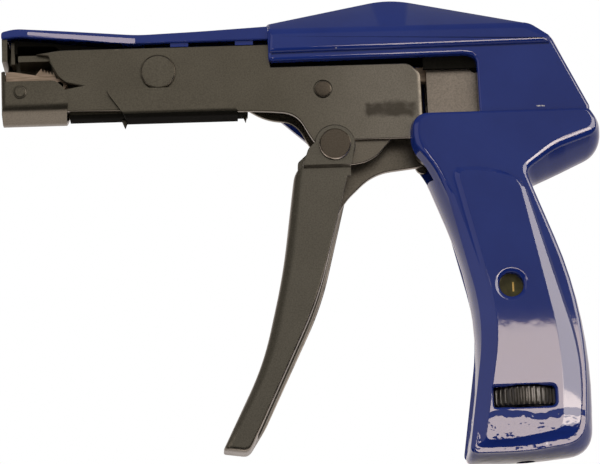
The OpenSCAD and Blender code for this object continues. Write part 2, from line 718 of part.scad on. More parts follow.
// Barrel frame: channel, liner, nose pieces and the saddle clip
fold_reach = 1.5;
channel_low_share = 0.7487;
channel_top_share = 0.7977;
channel_from_share = 0.112;
channel_to_share = 0.4096;
channel_floor = channel_low_share * tool_h;
barb_shares = [[0.4066, 0.7517, 0], [0.4066, 0.7306, 0.0006], [0.4126, 0.7306, 0.0006], [0.4096, 0.7517, 0]];
barb_half = 1.2;
function along(share) = (share - 1 / 2) * tool_l;
module barrel_channel() {
  color(dark) {
    fold(
      plate_in, channel_floor, channel_top_share * tool_h, channel_t, fold_reach,
      along(channel_from_share), along(channel_to_share)
    );
    plate(barb_shares, -barb_half, barb_half);
  }
}
module frame_liner() {
  color(steel)
    difference() {
      plate(liner_share, -plate_in, -plate_in + liner_t);
      cross_pin(pivot, trigger_pin_d, -plate_out, 0);
      cross_pin(rivet_at, rivet_d, -plate_out, 0);
    }
}
module nose_cap() {
  color(steel)
    difference() {
      intersection() {
        union() {
          fold(
            cap_out, cap_floor_share * tool_h, tool_h, sheet_t, fold_reach + sheet_t / 2,
            along(0), along(cap_to_share)
          );
          block([0, cap_floor_share], [cap_front_share, 1], -cap_out + sheet_t / 2, cap_out - sheet_t / 2);
        }
        plate(cap_share, -cap_out, cap_out);
      }
      cross_pin(nose_pin_at, nose_pin_d, -cap_out - over, cap_out + over);
    }
}
cap_floor_share = 0.7442;
cap_to_share = 0.13;
cap_front_share = 0.0066;

// The ramp: a cheek on each side of the gripper, closed in front and joined below
gripper_room_half = 3.2;
ramp_back_share = 0.047;
ramp_floor_share = 0.7894;
ramp_front_share = 0.012;
ramp_step_share = 0.8098;
module nose_ramp() {
  color(bare)
    difference() {
      plate(ramp_share, -plate_out, plate_in);
      block([ramp_front_share, ramp_floor_share], [1, 1], -gripper_room_half, gripper_room_half);
      block([ramp_back_share, 0], [1, 1 - ramp_back_share], -gripper_room_half, gripper_room_half);
      block([ramp_back_share, 0], [1, ramp_step_share], -plate_out - over, -plate_in);
      cross_pin(nose_pin_at, nose_pin_d, -plate_out - over, plate_in + over);
    }
}
wall_shares = [[0.0018, 0.8732], [0.0108, 0.9212]];
wall_leg_shares = [[0.0108, 0.8732], [0.0205, 0.886]];
module nose_wall() {
  color(steel) {
    block(wall_shares[0], wall_shares[1], -plate_out, plate_out);
    block(wall_leg_shares[0], wall_leg_shares[1], plate_in, plate_out);
  }
}
module upper_jaw() {
  color(steel) plate(jaw_share, -plate_in, plate_in);
}
module nose_pin() {
  color(steel) {
    cross_pin(nose_pin_at, nose_pin_d, -cap_out, cap_out);
    pin_dome(nose_pin_at, nose_pin_d, -cap_out);
  }
}
dome_h = 0.3;
module pin_dome(where, d, at_y) {
  translate([where[0], at_y, where[1]])
    rotate([90, 0, 0])
      cylinder(d1 = d, d2 = d * 3 / 4, h = dome_h);
}
clip_floor = channel_floor - sheet_t;
clip_from_share = 0.17;
clip_to_share = 0.4;
clip_barb_shares = [[0.2075, 0.7419, 0], [0.2066, 0.7276, 0.0006], [0.2127, 0.7276, 0.0006], [0.2169, 0.7419, 0]];
module saddle_clip() {
  color(steel) {
    difference() {
      intersection() {
        fold(
          cap_out, clip_floor, tool_h, sheet_t, fold_reach, along(clip_from_share), along(clip_to_share)
        );
        plate(clip_share, -cap_out, cap_out);
      }
      cross_pin(lever_at, lever_head_d + 2 * play, -cap_out - over, cap_out + over);
    }
    plate(clip_barb_shares, -barb_half, barb_half);
  }
}

// Fixed pins
lever_head_t = 1.2;
module lever_pin() {
  color(dark) {
    cross_pin(lever_at, lever_pin_d, -plate_out, plate_out);
    for (low = [-plate_out - lever_head_t, plate_out])
      cross_pin(lever_at, lever_head_d, low, low + lever_head_t);
  }
}
module frame_rivet() {
  color(dark) {
    cross_pin(rivet_at, rivet_d, -plate_out, plate_out);
    cross_pin(rivet_at, rivet_head_d, -plate_out - rivet_head_t, -plate_out);
  }
}
module trigger_pin() {
  color(dark) {
    cross_pin(pivot, trigger_pin_d, -ear_out - play / 2, ear_out);
    cross_pin(pivot, trigger_head_d, -ear_out - play / 2 - head_t, -ear_out - play / 2);
  }
}
module crank_pin() {
  color(dark) cross_pin(crank_at, crank_pin_d, -crank_half - play / 2, blind_depth);
}
module screw_bush() {
  color(bare)
    difference() {
      upright(wheel_at[0], bush_d, bush_low, wheel_low - slot_gap);
      upright(wheel_at[0], screw_d + 2 * run_fit, bush_low - over, wheel_low);
    }
}
guide_shares = [[0.706, 0.8317], [0.8072, 0.8792]];
guide_in = plate_in + play;
module yoke_guide() {
  color(dark)
    for (low = [guide_in, -lever_room_half])
      block(guide_shares[0], guide_shares[1], low, low + lever_room_half - guide_in);
}

// The trigger: a channel open to the grip, with two ears carried out over the side plates
trigger_out = plate_out + play / 3;
bend_at = 2.5;
bend_share = 0.7;
joggle_low_share = 0.604;
joggle_top_share = 0.634;
joggle_from_share = 0.4976;
joggle_to_share = 0.576;
joggle_step = 0.6;
module trigger_side(side) {
  low = side < 0 ? -ear_out : ear_in;
  flange_low = side < 0 ? -trigger_out : trigger_out - trigger_t;
  slab(low, low + trigger_t) disc(pivot, ear_d);
  plate(ear_neck_share, low, low + trigger_t);
  hull() {
    translate([along(joggle_from_share), flange_low, joggle_low_share * tool_h])
      cube([(joggle_to_share - joggle_from_share) * tool_l, trigger_t, joggle_step]);
    translate([along(joggle_from_share) + joggle_step, low, joggle_top_share * tool_h])
      cube([(joggle_to_share - joggle_from_share) * tool_l - joggle_step, trigger_t, joggle_step]);
  }
}
module trigger() {
  near = outline(trig_near_share);
  mid = outline(trig_mid_share);
  far = outline(trig_far_share);
  color("#55554c")
    difference() {
      union() {
        difference() {
          loft(
            [near, blend(near, mid, bend_share), mid, mid, blend(far, mid, bend_share), far],
            [-trigger_out, -trigger_out + bend_at / 3, -trigger_out + bend_at,
              trigger_out - bend_at, trigger_out - bend_at / 3, trigger_out]
          );
          plate(trig_room_share, -trigger_out + trigger_t, trigger_out - trigger_t);
        }
        trigger_side(-1);
        trigger_side(1);
      }
      cross_pin(pivot, trigger_pin_d + 2 * run_fit, -cap_out - ear_out, cap_out + ear_out);
      for (s = arm_rivet_shares) cross_pin(at(s), arm_rivet_d, 0, trigger_out + over);
    }
}

// Arm plate riveted inside the far wall of the trigger; its pin drives the crank
arm_in = 1.7;
arm_t = 2;
arm_rivet_d = 3;
arm_rivet_head_d = 5;
arm_pin_d = 3;
arm_eye_wall = 2;
arm_eye_d = arm_pin_d + 2 * arm_eye_wall;
module trigger_arm() {
  color(steel)
    difference() {
      union() {
        plate(arm_share, arm_in, arm_in + arm_t);
        cross_pin(arm_at, arm_eye_d, arm_in, arm_in + arm_t);
      }
      cross_pin(pivot, trigger_pin_d + 2 * run_fit, 0, cap_out);
      cross_pin(arm_at, arm_pin_d, 0, cap_out);
      for (s = arm_rivet_shares) cross_pin(at(s), arm_rivet_d, 0, cap_out);
    }
}
module arm_rivets() {
  color(dark)
    for (s = arm_rivet_shares) {
      cross_pin(at(s), arm_rivet_d, arm_in, trigger_out);
      cross_pin(at(s), arm_rivet_head_d, arm_in - head_t, arm_in);
      cross_pin(at(s), arm_rivet_head_d, arm_in + arm_t, trigger_out - trigger_t);
    }
}
module arm_pin() {
  color(dark) cross_pin(arm_at, arm_pin_d, -crank_half - play, arm_in + arm_t);
}

// Return spring round the trigger pin: one leg on the trigger's web, one behind the frame rivet
return_wire = 1.2;
return_turns = 2.5;
return_steps = 10;
return_from = -2.3;
return_pitch = 1.3;
return_r = trigger_pin_d / 2 + return_wire;
web_leg_share = [0.4985, 0.5774];
rivet_leg_share = [0.5205, 0.785];
module trigger_spring() {
  start = -75;
  coil = [
    for (i = [0 : return_turns * return_steps])
      let (a = start + 360 * i / return_steps)
      [
        pivot[0] + return_r * cos(a),
        return_from + return_pitch * i / return_steps,
        pivot[1] + return_r * sin(a)
      ]
  ];
  web = at(web_leg_share);
  top = at(rivet_leg_share);
  last = coil[len(coil) - 1];
  path = concat([[web[0], return_from, web[1]]], coil, [[top[0], last[1], top[1]]]);
  color(bare) wire(path, return_wire, [0, 1, 0]);
}

// Bell crank: the front arm is slotted on the arm pin, the upper arm on the yoke pin
crank_half = 1.4;
crank_boss_d = 8;
crank_bar_d = 4.4;
crank_eye_d = 6.4;
yoke_pin_d = 3;
module slot_shape(a, b, d) {
  hull() {
    disc(a, d);
    disc(b, d);
  }
}
function out_from_crank(towards, r) = crank_at + unit(towards - crank_at) * r;
front_slot_in = out_from_crank(arm_at, min(front_arm, front_arm_end) - slot_play * 3);
front_slot_out = out_from_crank(arm_at, max(front_arm, front_arm_end) + slot_play / 2);
yoke_level = yoke_pin_at[1] - crank_at[1];
yoke_slot_in = out_from_crank(yoke_pin_at, yoke_level - slot_play / 2);
yoke_slot_out = out_from_crank(yoke_pin_at, crank_l + slot_play / 2);
module bell_crank() {
  color(steel)
    difference() {
      slab(-crank_half, crank_half)
        difference() {
          union() {
            disc(crank_at, crank_boss_d);
            slot_shape(crank_at, front_slot_in, crank_bar_d);
            slot_shape(front_slot_in, front_slot_out, crank_eye_d);
            slot_shape(crank_at, yoke_slot_out, crank_bar_d + slot_play * 2);
          }
          slot_shape(front_slot_in, front_slot_out, arm_pin_d + 2 * slot_play);
          slot_shape(yoke_slot_in, yoke_slot_out, yoke_pin_d + slot_play);
        }
      cross_pin(crank_at, crank_pin_d + 2 * run_fit, -cap_out, cap_out);
    }
}

// Pull rod with its yoke and its gripper
pawl_pin_d = 2;
yoke_half = 4;
yoke_slot_half = crank_half + play;
yoke_low_share = 0.7389;
yoke_ahead = 13.7;
yoke_behind = 2.8;
yoke_above = 2.4;
yoke_bridge_share = 0.741;
yoke_notch_share = 0.7698;
module pull_rod() {
  color(bare)
    difference() {
      plate(rod_share, -rod_t / 2, rod_t / 2);
      cross_pin(pawl_at, pawl_pin_d, -rod_t, rod_t);
    }
}
module rod_yoke() {
  color(steel)
    difference() {
      slab(-yoke_half, yoke_half)
        translate([yoke_pin_at[0] - yoke_ahead, yoke_low_share * tool_h])
          square([yoke_ahead + yoke_behind, yoke_pin_at[1] + yoke_above - yoke_low_share * tool_h]);
      slab(yoke_slot_half - over, yoke_half + over)
        translate([crank_at[0] - rod_travel - crank_pin_d / 2 - play, 0])
          square([tool_l, crank_at[1] + crank_pin_d / 2 + play]);
      block([yoke_bridge_share, 0], [1, 1], -yoke_slot_half, yoke_slot_half);
      block([0, 0], [1, yoke_notch_share], -yoke_slot_half, yoke_slot_half);
      plate(rod_share, -rod_t / 2, rod_t / 2);
      cross_pin(yoke_pin_at, yoke_pin_d, -yoke_half - over, yoke_half + over);
    }
}
module yoke_pin() {
  color(dark) cross_pin(yoke_pin_at, yoke_pin_d, -yoke_half, yoke_half);
}
pawl_half = gripper_room_half - play;
module pawl_pin() {
  color(dark) cross_pin(pawl_at, pawl_pin_d, -pawl_half, pawl_half);
}
pawl_slot_half = rod_t / 2 + play;
pawl_slot_share = 0.0735;
tooth_crest_share = 0.7;
teeth_shares = [[0.0843, 0.84], [0.056, 0.8506]];
module gripper_pawl() {
  first = at(teeth_shares[0]);
  step = (at(teeth_shares[1]) - first) / teeth;
  color(bare)
    difference() {
      union() {
        plate(gripper_share, -pawl_half, pawl_half);
        slab(-pawl_half, pawl_half)
          for (i = [0 : teeth - 1])
            polygon([
              first + step * i - [0, tooth_h], first + step * i,
              first + step * (i + tooth_crest_share) + [0, tooth_h], first + step * (i + 1),
              first + step * (i + 1) - [0, tooth_h]
            ]);
      }
      block([pawl_slot_share, 0], [1, 1], -pawl_slot_half, pawl_slot_half);
      cross_pin(pawl_at, pawl_pin_d + 2 * run_fit, -plate_in, plate_in);
    }
}

// Cut-off lever: a channel open below, with the blade on its front lip
lever_half = plate_in - play;
lever_wall = 1;
blade_half = 3.1;
blade_low_share = 0.8732;
blade_high_share = 0.9208;
blade_face_share = 0.0223;
blade_rivet_d = 1.6;
blade_rivet_at = 1.9;
blade_rivet_share = 0.9064;
lip_t = 0.8;
link_pin_d = 2.2;
module cutoff_lever() {
  color(dark)
    difference() {
      plate(lever_side_share, -lever_half, lever_half);
      plate(lever_hollow_share, -lever_half + lever_wall, lever_half - lever_wall);
      cross_pin(lever_at, lever_pin_d + 2 * run_fit, -plate_out, plate_out);
      cross_pin(link_at, link_pin_d, -plate_out, plate_out);
      blade_bores();
    }
}
module blade_bores() {
  for (y = [-blade_rivet_at, blade_rivet_at])
    translate([along(blade_face_share) - blade_t, y, blade_rivet_share * tool_h])
      rotate([0, 90, 0])
        cylinder(d = blade_rivet_d, h = blade_t + lip_t);
}
module cutter_blade() {
  color(steel)
    difference() {
      translate([along(blade_face_share) - blade_t, -blade_half, blade_low_share * tool_h])
        cube([blade_t, 2 * blade_half, (blade_high_share - blade_low_share) * tool_h]);
      translate([along(blade_face_share), 0, blade_low_share * tool_h])
        rotate([0, -45, 0])
          translate([0, -blade_half - over, -blade_t])
            cube([blade_t * 2, 2 * (blade_half + over), blade_t]);
      blade_bores();
    }
}
module blade_rivets() {
  color(dark) blade_bores();
}
module link_pin() {
  color(dark) cross_pin(link_at, link_pin_d, -lever_half, link_in + link_t + play);
}
link_in = plate_in;
link_t = 1;
link_w = 2.8;
link_eye_d = 5;
link_foot_share = 0.4981;
link_foot_t = 1.4;
link_foot_w = 4.4;
link_slack = 0.5;
module pull_link() {
  foot_z = link_foot_share * tool_h;
  color(bare)
    difference() {
      union() {
        slab(link_in, link_in + link_t) {
          disc(link_at, link_eye_d);
          translate([link_at[0] - link_w / 2, foot_z]) square([link_w, link_at[1] - foot_z]);
        }
        translate([wheel_at[0] - link_foot_w / 2, -link_foot_w / 2, foot_z])
          cube([link_foot_w, link_in + link_t + link_foot_w / 2, link_foot_t]);
      }
      slab(link_in - over, link_in + link_t + over)
        slot_shape(
          link_at - [link_slack, 0], link_at + [link_slack, 0], link_pin_d + 2 * run_fit
        );
      upright(wheel_at[0], spring_wire + 4 * play, foot_z - over, foot_z + link_foot_t + over);
    }
}

// Tension adjuster
rib_h = 0.5;
screw_low_share = 0.0302;
screw_top_share = 0.42;
module thumbwheel() {
  rim = [
    for (i = [0 : 4 * wheel_ribs - 1])
      let (r = wheel_d / 2 - (floor(i / 2) % 2 == 0 ? 0 : rib_h), a = 90 * i / wheel_ribs)
      r * [cos(a), sin(a)]
  ];
  color("#1b1b1b")
    translate([wheel_at[0], 0, wheel_low])
      difference() {
        linear_extrude(wheel_t) polygon(rim);
        translate([0, 0, -over]) cylinder(d = screw_d, h = wheel_t + 2 * over);
      }
}
module adjusting_screw() {
  color(bare) upright(wheel_at[0], screw_d, screw_low_share * tool_h, screw_top_share * tool_h);
}
nut_share = 0.2566;
nut_h = 4;
nut_boss_h = 6;
spring_steps = 8;
nut_boss_d = (spring_d - spring_wire) * cos(180 / spring_steps) - spring_wire - 2 * run_fit;
nut_half_x = 4.4;
nut_far = 7.6;
card_t = 0.8;
card_low = -spring_room_half + over;
module spring_nut() {
  nut_z = nut_share * tool_h;
  color(bare)
    difference() {
      union() {
        translate([wheel_at[0] - nut_half_x, card_low + card_t, nut_z])
          cube([2 * nut_half_x, nut_far - card_low - card_t, nut_h]);
        upright(wheel_at[0], nut_boss_d, nut_z, nut_z + nut_h + nut_boss_h);
      }
      upright(wheel_at[0], screw_d + 2 * run_fit, nut_z - over, nut_z + nut_h + nut_boss_h + over);
    }
}
card_low_share = [0.7994, 0.16];
card_high_share = [0.8614, 0.4906];
card_side_shares = [0.8024, 0.8584];
module number_plate() {
  nut_z = nut_share * tool_h;
  top_z = window_at[1] + nut_travel + window_d * 2 / 3;
  color("#8a8550")
    translate([along(card_side_shares[0]), card_low, nut_z])
      cube([(card_side_shares[1] - card_side_shares[0]) * tool_l, card_t, top_z - nut_z]);
}

// Tension spring: close turns on the nut's boss, open turns above, and a hook through the link
module tension_spring() {
  mean_r = (spring_d - spring_wire) / 2;
  low_z = nut_share * tool_h + nut_h + spring_wire / 2 + run_fit;
  top_z = link_foot_share * tool_h - spring_wire - play;
  count = spring_coils * spring_steps;
  coil = [
    for (i = [0 : count])
      let (a = 360 * i / spring_steps)
      [
        wheel_at[0] + mean_r * cos(a),
        mean_r * sin(a),
        low_z + (top_z - low_z) * i / count
      ]
  ];
  hook = [
    [wheel_at[0] + mean_r / 2, 0, top_z + spring_wire / 2],
    [wheel_at[0], 0, top_z + spring_wire * 3 / 2],
    [wheel_at[0], 0, link_foot_share * tool_h + link_foot_t + spring_wire]
  ];
  color(bare) wire(concat(coil, hook), spring_wire, [1, 0, 0]);
  echo(spring_gap = (top_z - low_z) / spring_coils - spring_wire);
}

housing_left();
housing_right();
housing_screws();
barrel_cover();
side_plate_left();
side_plate_right();
barrel_channel();
frame_liner();
nose_cap();
nose_ramp();
nose_wall();
upper_jaw();
nose_pin();
saddle_clip();
lever_pin();
frame_rivet();
trigger_pin();
crank_pin();
screw_bush();
yoke_guide();
trigger();
trigger_arm();
arm_rivets();
arm_pin();
trigger_spring();
bell_crank();
pull_rod();
rod_yoke();
yoke_pin();
pawl_pin();
gripper_pawl();
cutoff_lever();
cutter_blade();
blade_rivets();
link_pin();
pull_link();
thumbwheel();
adjusting_screw();
spring_nut();
number_plate();
tension_spring();
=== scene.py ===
import math

import bmesh
import bpy
import numpy as np
from mathutils import Matrix, Vector


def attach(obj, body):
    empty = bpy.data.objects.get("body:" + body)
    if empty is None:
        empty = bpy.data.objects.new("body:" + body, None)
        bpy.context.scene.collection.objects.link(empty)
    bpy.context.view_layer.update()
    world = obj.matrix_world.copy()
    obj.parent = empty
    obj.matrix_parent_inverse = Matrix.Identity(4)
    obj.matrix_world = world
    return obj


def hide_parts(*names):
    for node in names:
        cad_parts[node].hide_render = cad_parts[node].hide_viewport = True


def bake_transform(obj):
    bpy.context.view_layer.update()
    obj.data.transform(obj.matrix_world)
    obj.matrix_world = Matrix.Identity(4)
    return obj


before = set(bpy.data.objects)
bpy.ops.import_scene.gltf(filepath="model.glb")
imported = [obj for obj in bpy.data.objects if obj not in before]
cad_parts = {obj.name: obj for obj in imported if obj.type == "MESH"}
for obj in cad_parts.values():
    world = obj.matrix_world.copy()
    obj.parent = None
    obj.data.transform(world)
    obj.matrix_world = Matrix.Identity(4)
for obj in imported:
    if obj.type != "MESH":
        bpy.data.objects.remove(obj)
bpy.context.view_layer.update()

# Side plates. Two sheets of 1.5 mm steel carry every pin of the tool. They are blanked in a press, tumbled until
# their edges shine, and blackened in a hot phosphate bath that leaves an olive cast, paler towards the rear.
MM = 0.001
TOOL_LENGTH = 166
TOOL_HEIGHT = 132.5
PLATE_IN = 4.6
PLATE_OUT = 6.1
PLATE_EDGE = 0.3
PLATE_REAR = 0.7006
REAR_BEVEL = 0.006
CORNER_STEPS = 9


def at(shares):
    """Shares of the tool's length and height turned to millimetres: x = (share - 1/2) length, z = share height."""
    return (np.asarray(shares, float)[..., :2] - [0.5, 0]) * [TOOL_LENGTH, TOOL_HEIGHT]


def drawn_in(path, by):
    """The outline moved inwards: p + by (a + b) / (1 + a . b), a and b the normals of the two edges at p."""
    ahead = np.roll(path, -1, 0) - path
    ahead /= np.maximum(np.linalg.norm(ahead, axis=1), 1e-9)[:, None]
    normal = np.stack([-ahead[:, 1], ahead[:, 0]], 1)
    before = np.roll(normal, 1, 0)
    return path + by * (normal + before) / (1 + (normal * before).sum(1))[:, None]


def soft_outline(rows, steps=CORNER_STEPS):
    """A closed outline in millimetres, from rows of x share, z share and corner share.

    A corner b with reach r becomes b + r (1 - s)^2 u + r s^2 v, s from 0 to 1, where u and v point to its
    neighbours. Where two corners would meet, both reaches shrink to fit the edge between them."""
    rows = np.asarray(rows, float)
    b = at(rows)
    before, after = np.roll(b, 1, 0) - b, np.roll(b, -1, 0) - b
    long_before, long_after = np.linalg.norm(before, axis=1), np.linalg.norm(after, axis=1)
    reach = rows[:, 2] * TOOL_LENGTH
    fit_before = 0.98 * long_before / (reach + np.roll(reach, 1))
    fit_after = 0.98 * long_after / (reach + np.roll(reach, -1))
    reach = (reach * np.minimum(1, np.minimum(fit_before, fit_after)))[:, None]
    s = np.linspace(0, 1, steps)[:, None, None]
    curve = b + reach * (1 - s) ** 2 * before / long_before[:, None] + reach * s**2 * after / long_after[:, None]
    return curve.transpose(1, 0, 2).reshape(-1, 2)


def ring_at(rows, depth):
    """The soft outline of the rows, its points set at a depth across the tool."""
    return np.insert(soft_outline(rows), 1, depth, axis=1)


def placed(name, data):
    """An object made from its data and put in the scene."""
    thing = bpy.data.objects.new(name, data)
    bpy.context.scene.collection.objects.link(thing)
    return thing


def skin(name, rings, wear=0.0):
    """A closed piece from rings of points, one behind another, in four-sided faces with a cap at each end.

    rings is levels x turns x 3 in millimetres. wear, one value or one per level or per point, is kept on the mesh
    for the finish to read. The faces are turned outwards afterwards."""
    rings = np.asarray(rings, float)
    levels, turns = rings.shape[:2]
    here = np.arange(levels * turns).reshape(levels, turns)
    near, far = here[:-1], here[1:]
    quads = np.stack([near, far, np.roll(far, -1, 1), np.roll(near, -1, 1)], 2).reshape(-1, 4)
    mesh = bpy.data.meshes.new(name)
    caps = [here[0].tolist(), here[-1][::-1].tolist()]
    mesh.from_pydata((rings.reshape(-1, 3) * MM).tolist(), [], quads.tolist() + caps)
    wear = np.asarray(wear, float)
    wear = np.broadcast_to(wear[:, None] if wear.ndim == 1 else wear, (levels, turns))
    mesh.attributes.new("wear", "FLOAT", "POINT").data.foreach_set("value", wear.ravel().astype(np.float32))
    shell = bmesh.new()
    shell.from_mesh(mesh)
    bmesh.ops.recalc_face_normals(shell, faces=shell.faces)
    shell.to_mesh(mesh)
    shell.free()
    return placed(name, mesh)


def smooth(piece, angle=30):
    """Smooth shading, kept sharp where two faces meet at more than the angle, with large faces leading."""
    piece.data.shade_smooth()
    piece.data.set_sharp_from_angle(angle=math.radians(angle))
    weighted = piece.modifiers.new("Even shading", "WEIGHTED_NORMAL")
    weighted.keep_sharp = True
    return piece


def between(first, second, share):
    """Rows part of the way from one outline to another."""
    return (np.asarray(first) * (1 - share) + np.asarray(second) * share).tolist()


def shrunk(rows, by):
    """The rows of an outline drawn inwards by so many millimetres, with the same corner shares."""
    rows = np.asarray(rows, float)
    return np.column_stack([drawn_in(at(rows), by) / [TOOL_LENGTH, TOOL_HEIGHT] + [0.5, 0], rows[:, 2]]).tolist()


def stamped(name, rows, low, high, radius=PLATE_EDGE, flat=None, worn=1.0):
    """A flat sheet piece between two depths across the tool, with rounded edges.

    At angle a the depth is r (1 - cos a) and the outline has gone sin a of the way from the flat's outline to the
    full one; the flat is the outline shrunk by r unless given. worn is the wear of all corners or of each."""
    flat = flat or shrunk(rows, radius)
    a = np.linspace(0, math.pi / 2, 6)
    half = [ring_at(between(flat, rows, s), d) for s, d in zip(np.sin(a), radius * (1 - np.cos(a)))]
    near, far = np.array(half), np.array(half[::-1])
    near[..., 1] += low
    far[..., 1] = high - far[..., 1]
    wear = np.sin(2 * a)[:, None] * np.repeat(np.broadcast_to(worn, len(rows)), CORNER_STEPS)
    return skin(name, np.concatenate([near, far]), np.concatenate([wear, wear[::-1]]))


def linear(colour, alpha=1.0):
    """sRGB hex such as #4a463c turned to the linear values that shaders take."""
    parts = [int(colour[i : i + 2], 16) / 255 for i in (1, 3, 5)]
    return [p / 12.92 if p <= 0.04045 else ((p + 0.055) / 1.055) ** 2.4 for p in parts] + [alpha]


def add_node(tree, kind, links=(), **settings):
    """Adds a node: settings name its properties or sockets, links pair a socket with the output that feeds it."""
    node = tree.nodes.new(kind)
    for name, value in settings.items():
        if hasattr(node, name):
            setattr(node, name, value)
        else:
            node.inputs[name.replace("_", " ")].default_value = value
    for socket, output in links:
        tree.links.new(output, node.inputs[socket])
    return node


def finish_of(name, **sockets):
    """A new material, its tree and its surface shader, whose uniform values are set on the shader's own sockets."""
    material = bpy.data.materials.new(name)
    material.use_nodes = True
    shader = material.node_tree.nodes["Principled BSDF"]
    for socket, value in sockets.items():
        shader.inputs[socket.replace("_", " ")].default_value = value
    return material, material.node_tree, shader


def mixed(tree, factor, first, second):
    """The output of a colour mix; first and second are outputs or hex colours, factor an output or a number."""
    node = add_node(tree, "ShaderNodeMix", data_type="RGBA")
    for index, value in ((0, factor), (6, first), (7, second)):
        if isinstance(value, (str, int, float)):
            node.inputs[index].default_value = linear(value) if isinstance(value, str) else value
        else:
            tree.links.new(value, node.inputs[index])
    return node.outputs[2]


def stepped(tree, value, low, high, to_low=0.0, to_high=1.0):
    """The value passed through a smooth step from low to high."""
    node = add_node(tree, "ShaderNodeMapRange", [("Value", value)], interpolation_type="SMOOTHSTEP")
    for socket, number in zip(("From Min", "From Max", "To Min", "To Max"), (low, high, to_low, to_high)):
        node.inputs[socket].default_value = number
    return node.outputs["Result"]


def joined(tree, first, second, how="MULTIPLY"):
    """Two values put together by one arithmetic step; the second may be a number."""
    node = add_node(tree, "ShaderNodeMath", [(0, first)], operation=how)
    if isinstance(second, (int, float)):
        node.inputs[1].default_value = second
    else:
        tree.links.new(second, node.inputs[1])
    return node.outputs[0]


def noise(tree, place, scale, detail=3.0, stretch=None):
    """A cloudy pattern of about 1 / scale metres; stretch divides its size along each axis."""
    if stretch:
        place = add_node(tree, "ShaderNodeMapping", [("Vector", place)], Scale=stretch).outputs["Vector"]
    return add_node(tree, "ShaderNodeTexNoise", [("Vector", place)], Scale=scale, Detail=detail).outputs["Fac"]


def near_box(tree, place, low, high, reach, ragged=0.0, grain=700.0):
    """A mark round a box given in millimetres: 1 inside it, fading to 0 at the reach, with a ragged border."""
    held = place
    for how, corner in (("MAXIMUM", low), ("MINIMUM", high)):
        node = add_node(tree, "ShaderNodeVectorMath", [(0, held)], operation=how)
        node.inputs[1].default_value = [v * MM for v in corner]
        held = node.outputs[0]
    away = add_node(tree, "ShaderNodeVectorMath", [(0, place), (1, held)], operation="DISTANCE").outputs[1]
    if ragged:
        away = joined(tree, away, joined(tree, noise(tree, place, grain), ragged * MM), "ADD")
    return stepped(tree, away, reach * MM, reach * MM * 0.45)


def new_piece(piece, material, body, *nodes, slot, angle=30):
    """A piece takes its shading and finish, rides on its body and stands for the nodes that it replaces."""
    if angle:
        smooth(piece, angle)
    piece.data.materials.clear()
    piece.data.materials.append(material)
    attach(piece, body)
    if nodes:
        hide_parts(*nodes)
    return piece


def phosphated(name, dark, pale=None, pale_from=0, pale_to=1, roughness=0.3, marks=(), metallic=0.9, level=0.5):
    """Hot phosphate on mild steel: a soft olive-black crystal layer that holds oil, so it is satin, not dull.

    The grain is 0.4 mm, coarser than the real crystals so that it shows; clouds of oil are 12 mm; the colour
    pales along the tool from pale_from to pale_to, in millimetres, and bare steel shows where wear is high.
    marks are boxes with a reach and a colour, for an oil spot and for a painted highlight."""
    material, tree, shader = finish_of(name, Metallic=metallic, Specular_IOR_Level=level)
    place = add_node(tree, "ShaderNodeTexCoord").outputs["Object"]
    along = add_node(tree, "ShaderNodeSeparateXYZ", [(0, place)]).outputs["X"]
    grain, cloud = noise(tree, place, 2600.0, 4.0), noise(tree, place, 80.0, 4.0)
    base = mixed(tree, stepped(tree, along, pale_from * MM, pale_to * MM), dark, pale or dark)
    base = mixed(tree, stepped(tree, cloud, 0.3, 0.75, 0.0, 0.22), base, dark)
    base = mixed(tree, stepped(tree, grain, 0.3, 0.75, 0.0, 0.3), base, "#2e2b26")
    for low, high, reach, colour in marks:
        base = mixed(tree, joined(tree, near_box(tree, place, low, high, reach, reach, 320.0), 0.85), base, colour)
    worn = add_node(tree, "ShaderNodeAttribute", attribute_name="wear").outputs["Fac"]
    bare = joined(tree, stepped(tree, worn, 0.25, 0.9), stepped(tree, noise(tree, place, 420.0), 0.25, 0.6))
    tree.links.new(mixed(tree, bare, base, "#c8beb0"), shader.inputs["Base Color"])
    gloss = joined(tree, stepped(tree, cloud, 0.3, 0.7, roughness, roughness + 0.08), bare, "SUBTRACT")
    tree.links.new(joined(tree, gloss, 0.22, "MAXIMUM"), shader.inputs["Roughness"])
    bump = add_node(tree, "ShaderNodeBump", [("Height", grain)], Strength=0.25, Distance=0.00003)
    tree.links.new(bump.outputs["Normal"], shader.inputs["Normal"])
    return material


oil_smudge = ((18.6, -6.3, 97.9), (30.8, -6.0, 100.3), 3.4, "#544e46")
# A pale spot on a corner of the plate's top edge is a painted highlight.
top_edge_highlight = ((-51.4, -6.3, 118.2), (-50.4, -6.0, 118.3), 0.3, "#a39a8c")
plate_marks = (oil_smudge, top_edge_highlight)
plate_finish = phosphated("Olive phosphate on pressed steel", "#857f72", "#a39c91", -10, 30, marks=plate_marks)
plate_near_rows = [
    [0.0789, 0.883, 0.0024], [0.0819, 0.8679, 0.0048], [0.0946, 0.837, 0.0048], [0.1072, 0.8242, 0.0024],
    [0.1331, 0.8166, 0.0012], [0.1, 0.8091, 0.0036], [0.0482, 0.8075, 0.0036], [0.0482, 0.764, 0.0036],
    [0.25, 0.76, 0.0084], [0.38, 0.753, 0.0084], [0.4398, 0.7505, 0.0241], [0.4904, 0.7442, 0.0241],
    [0.5114, 0.6943, 0.0096], [0.5277, 0.6642, 0.006], [0.5518, 0.6528, 0.006], [0.5663, 0.6838, 0.0036],
    [PLATE_REAR, 0.6838, 0.003], [PLATE_REAR, 0.8242, 0.0072], [0.6819, 0.846, 0.0084],
    [0.4494, 0.846, 0.0018], [0.4494, 0.8951, 0.0018], [0.0988, 0.8951, 0.012], [0.0572, 0.8875, 0.0036],
]
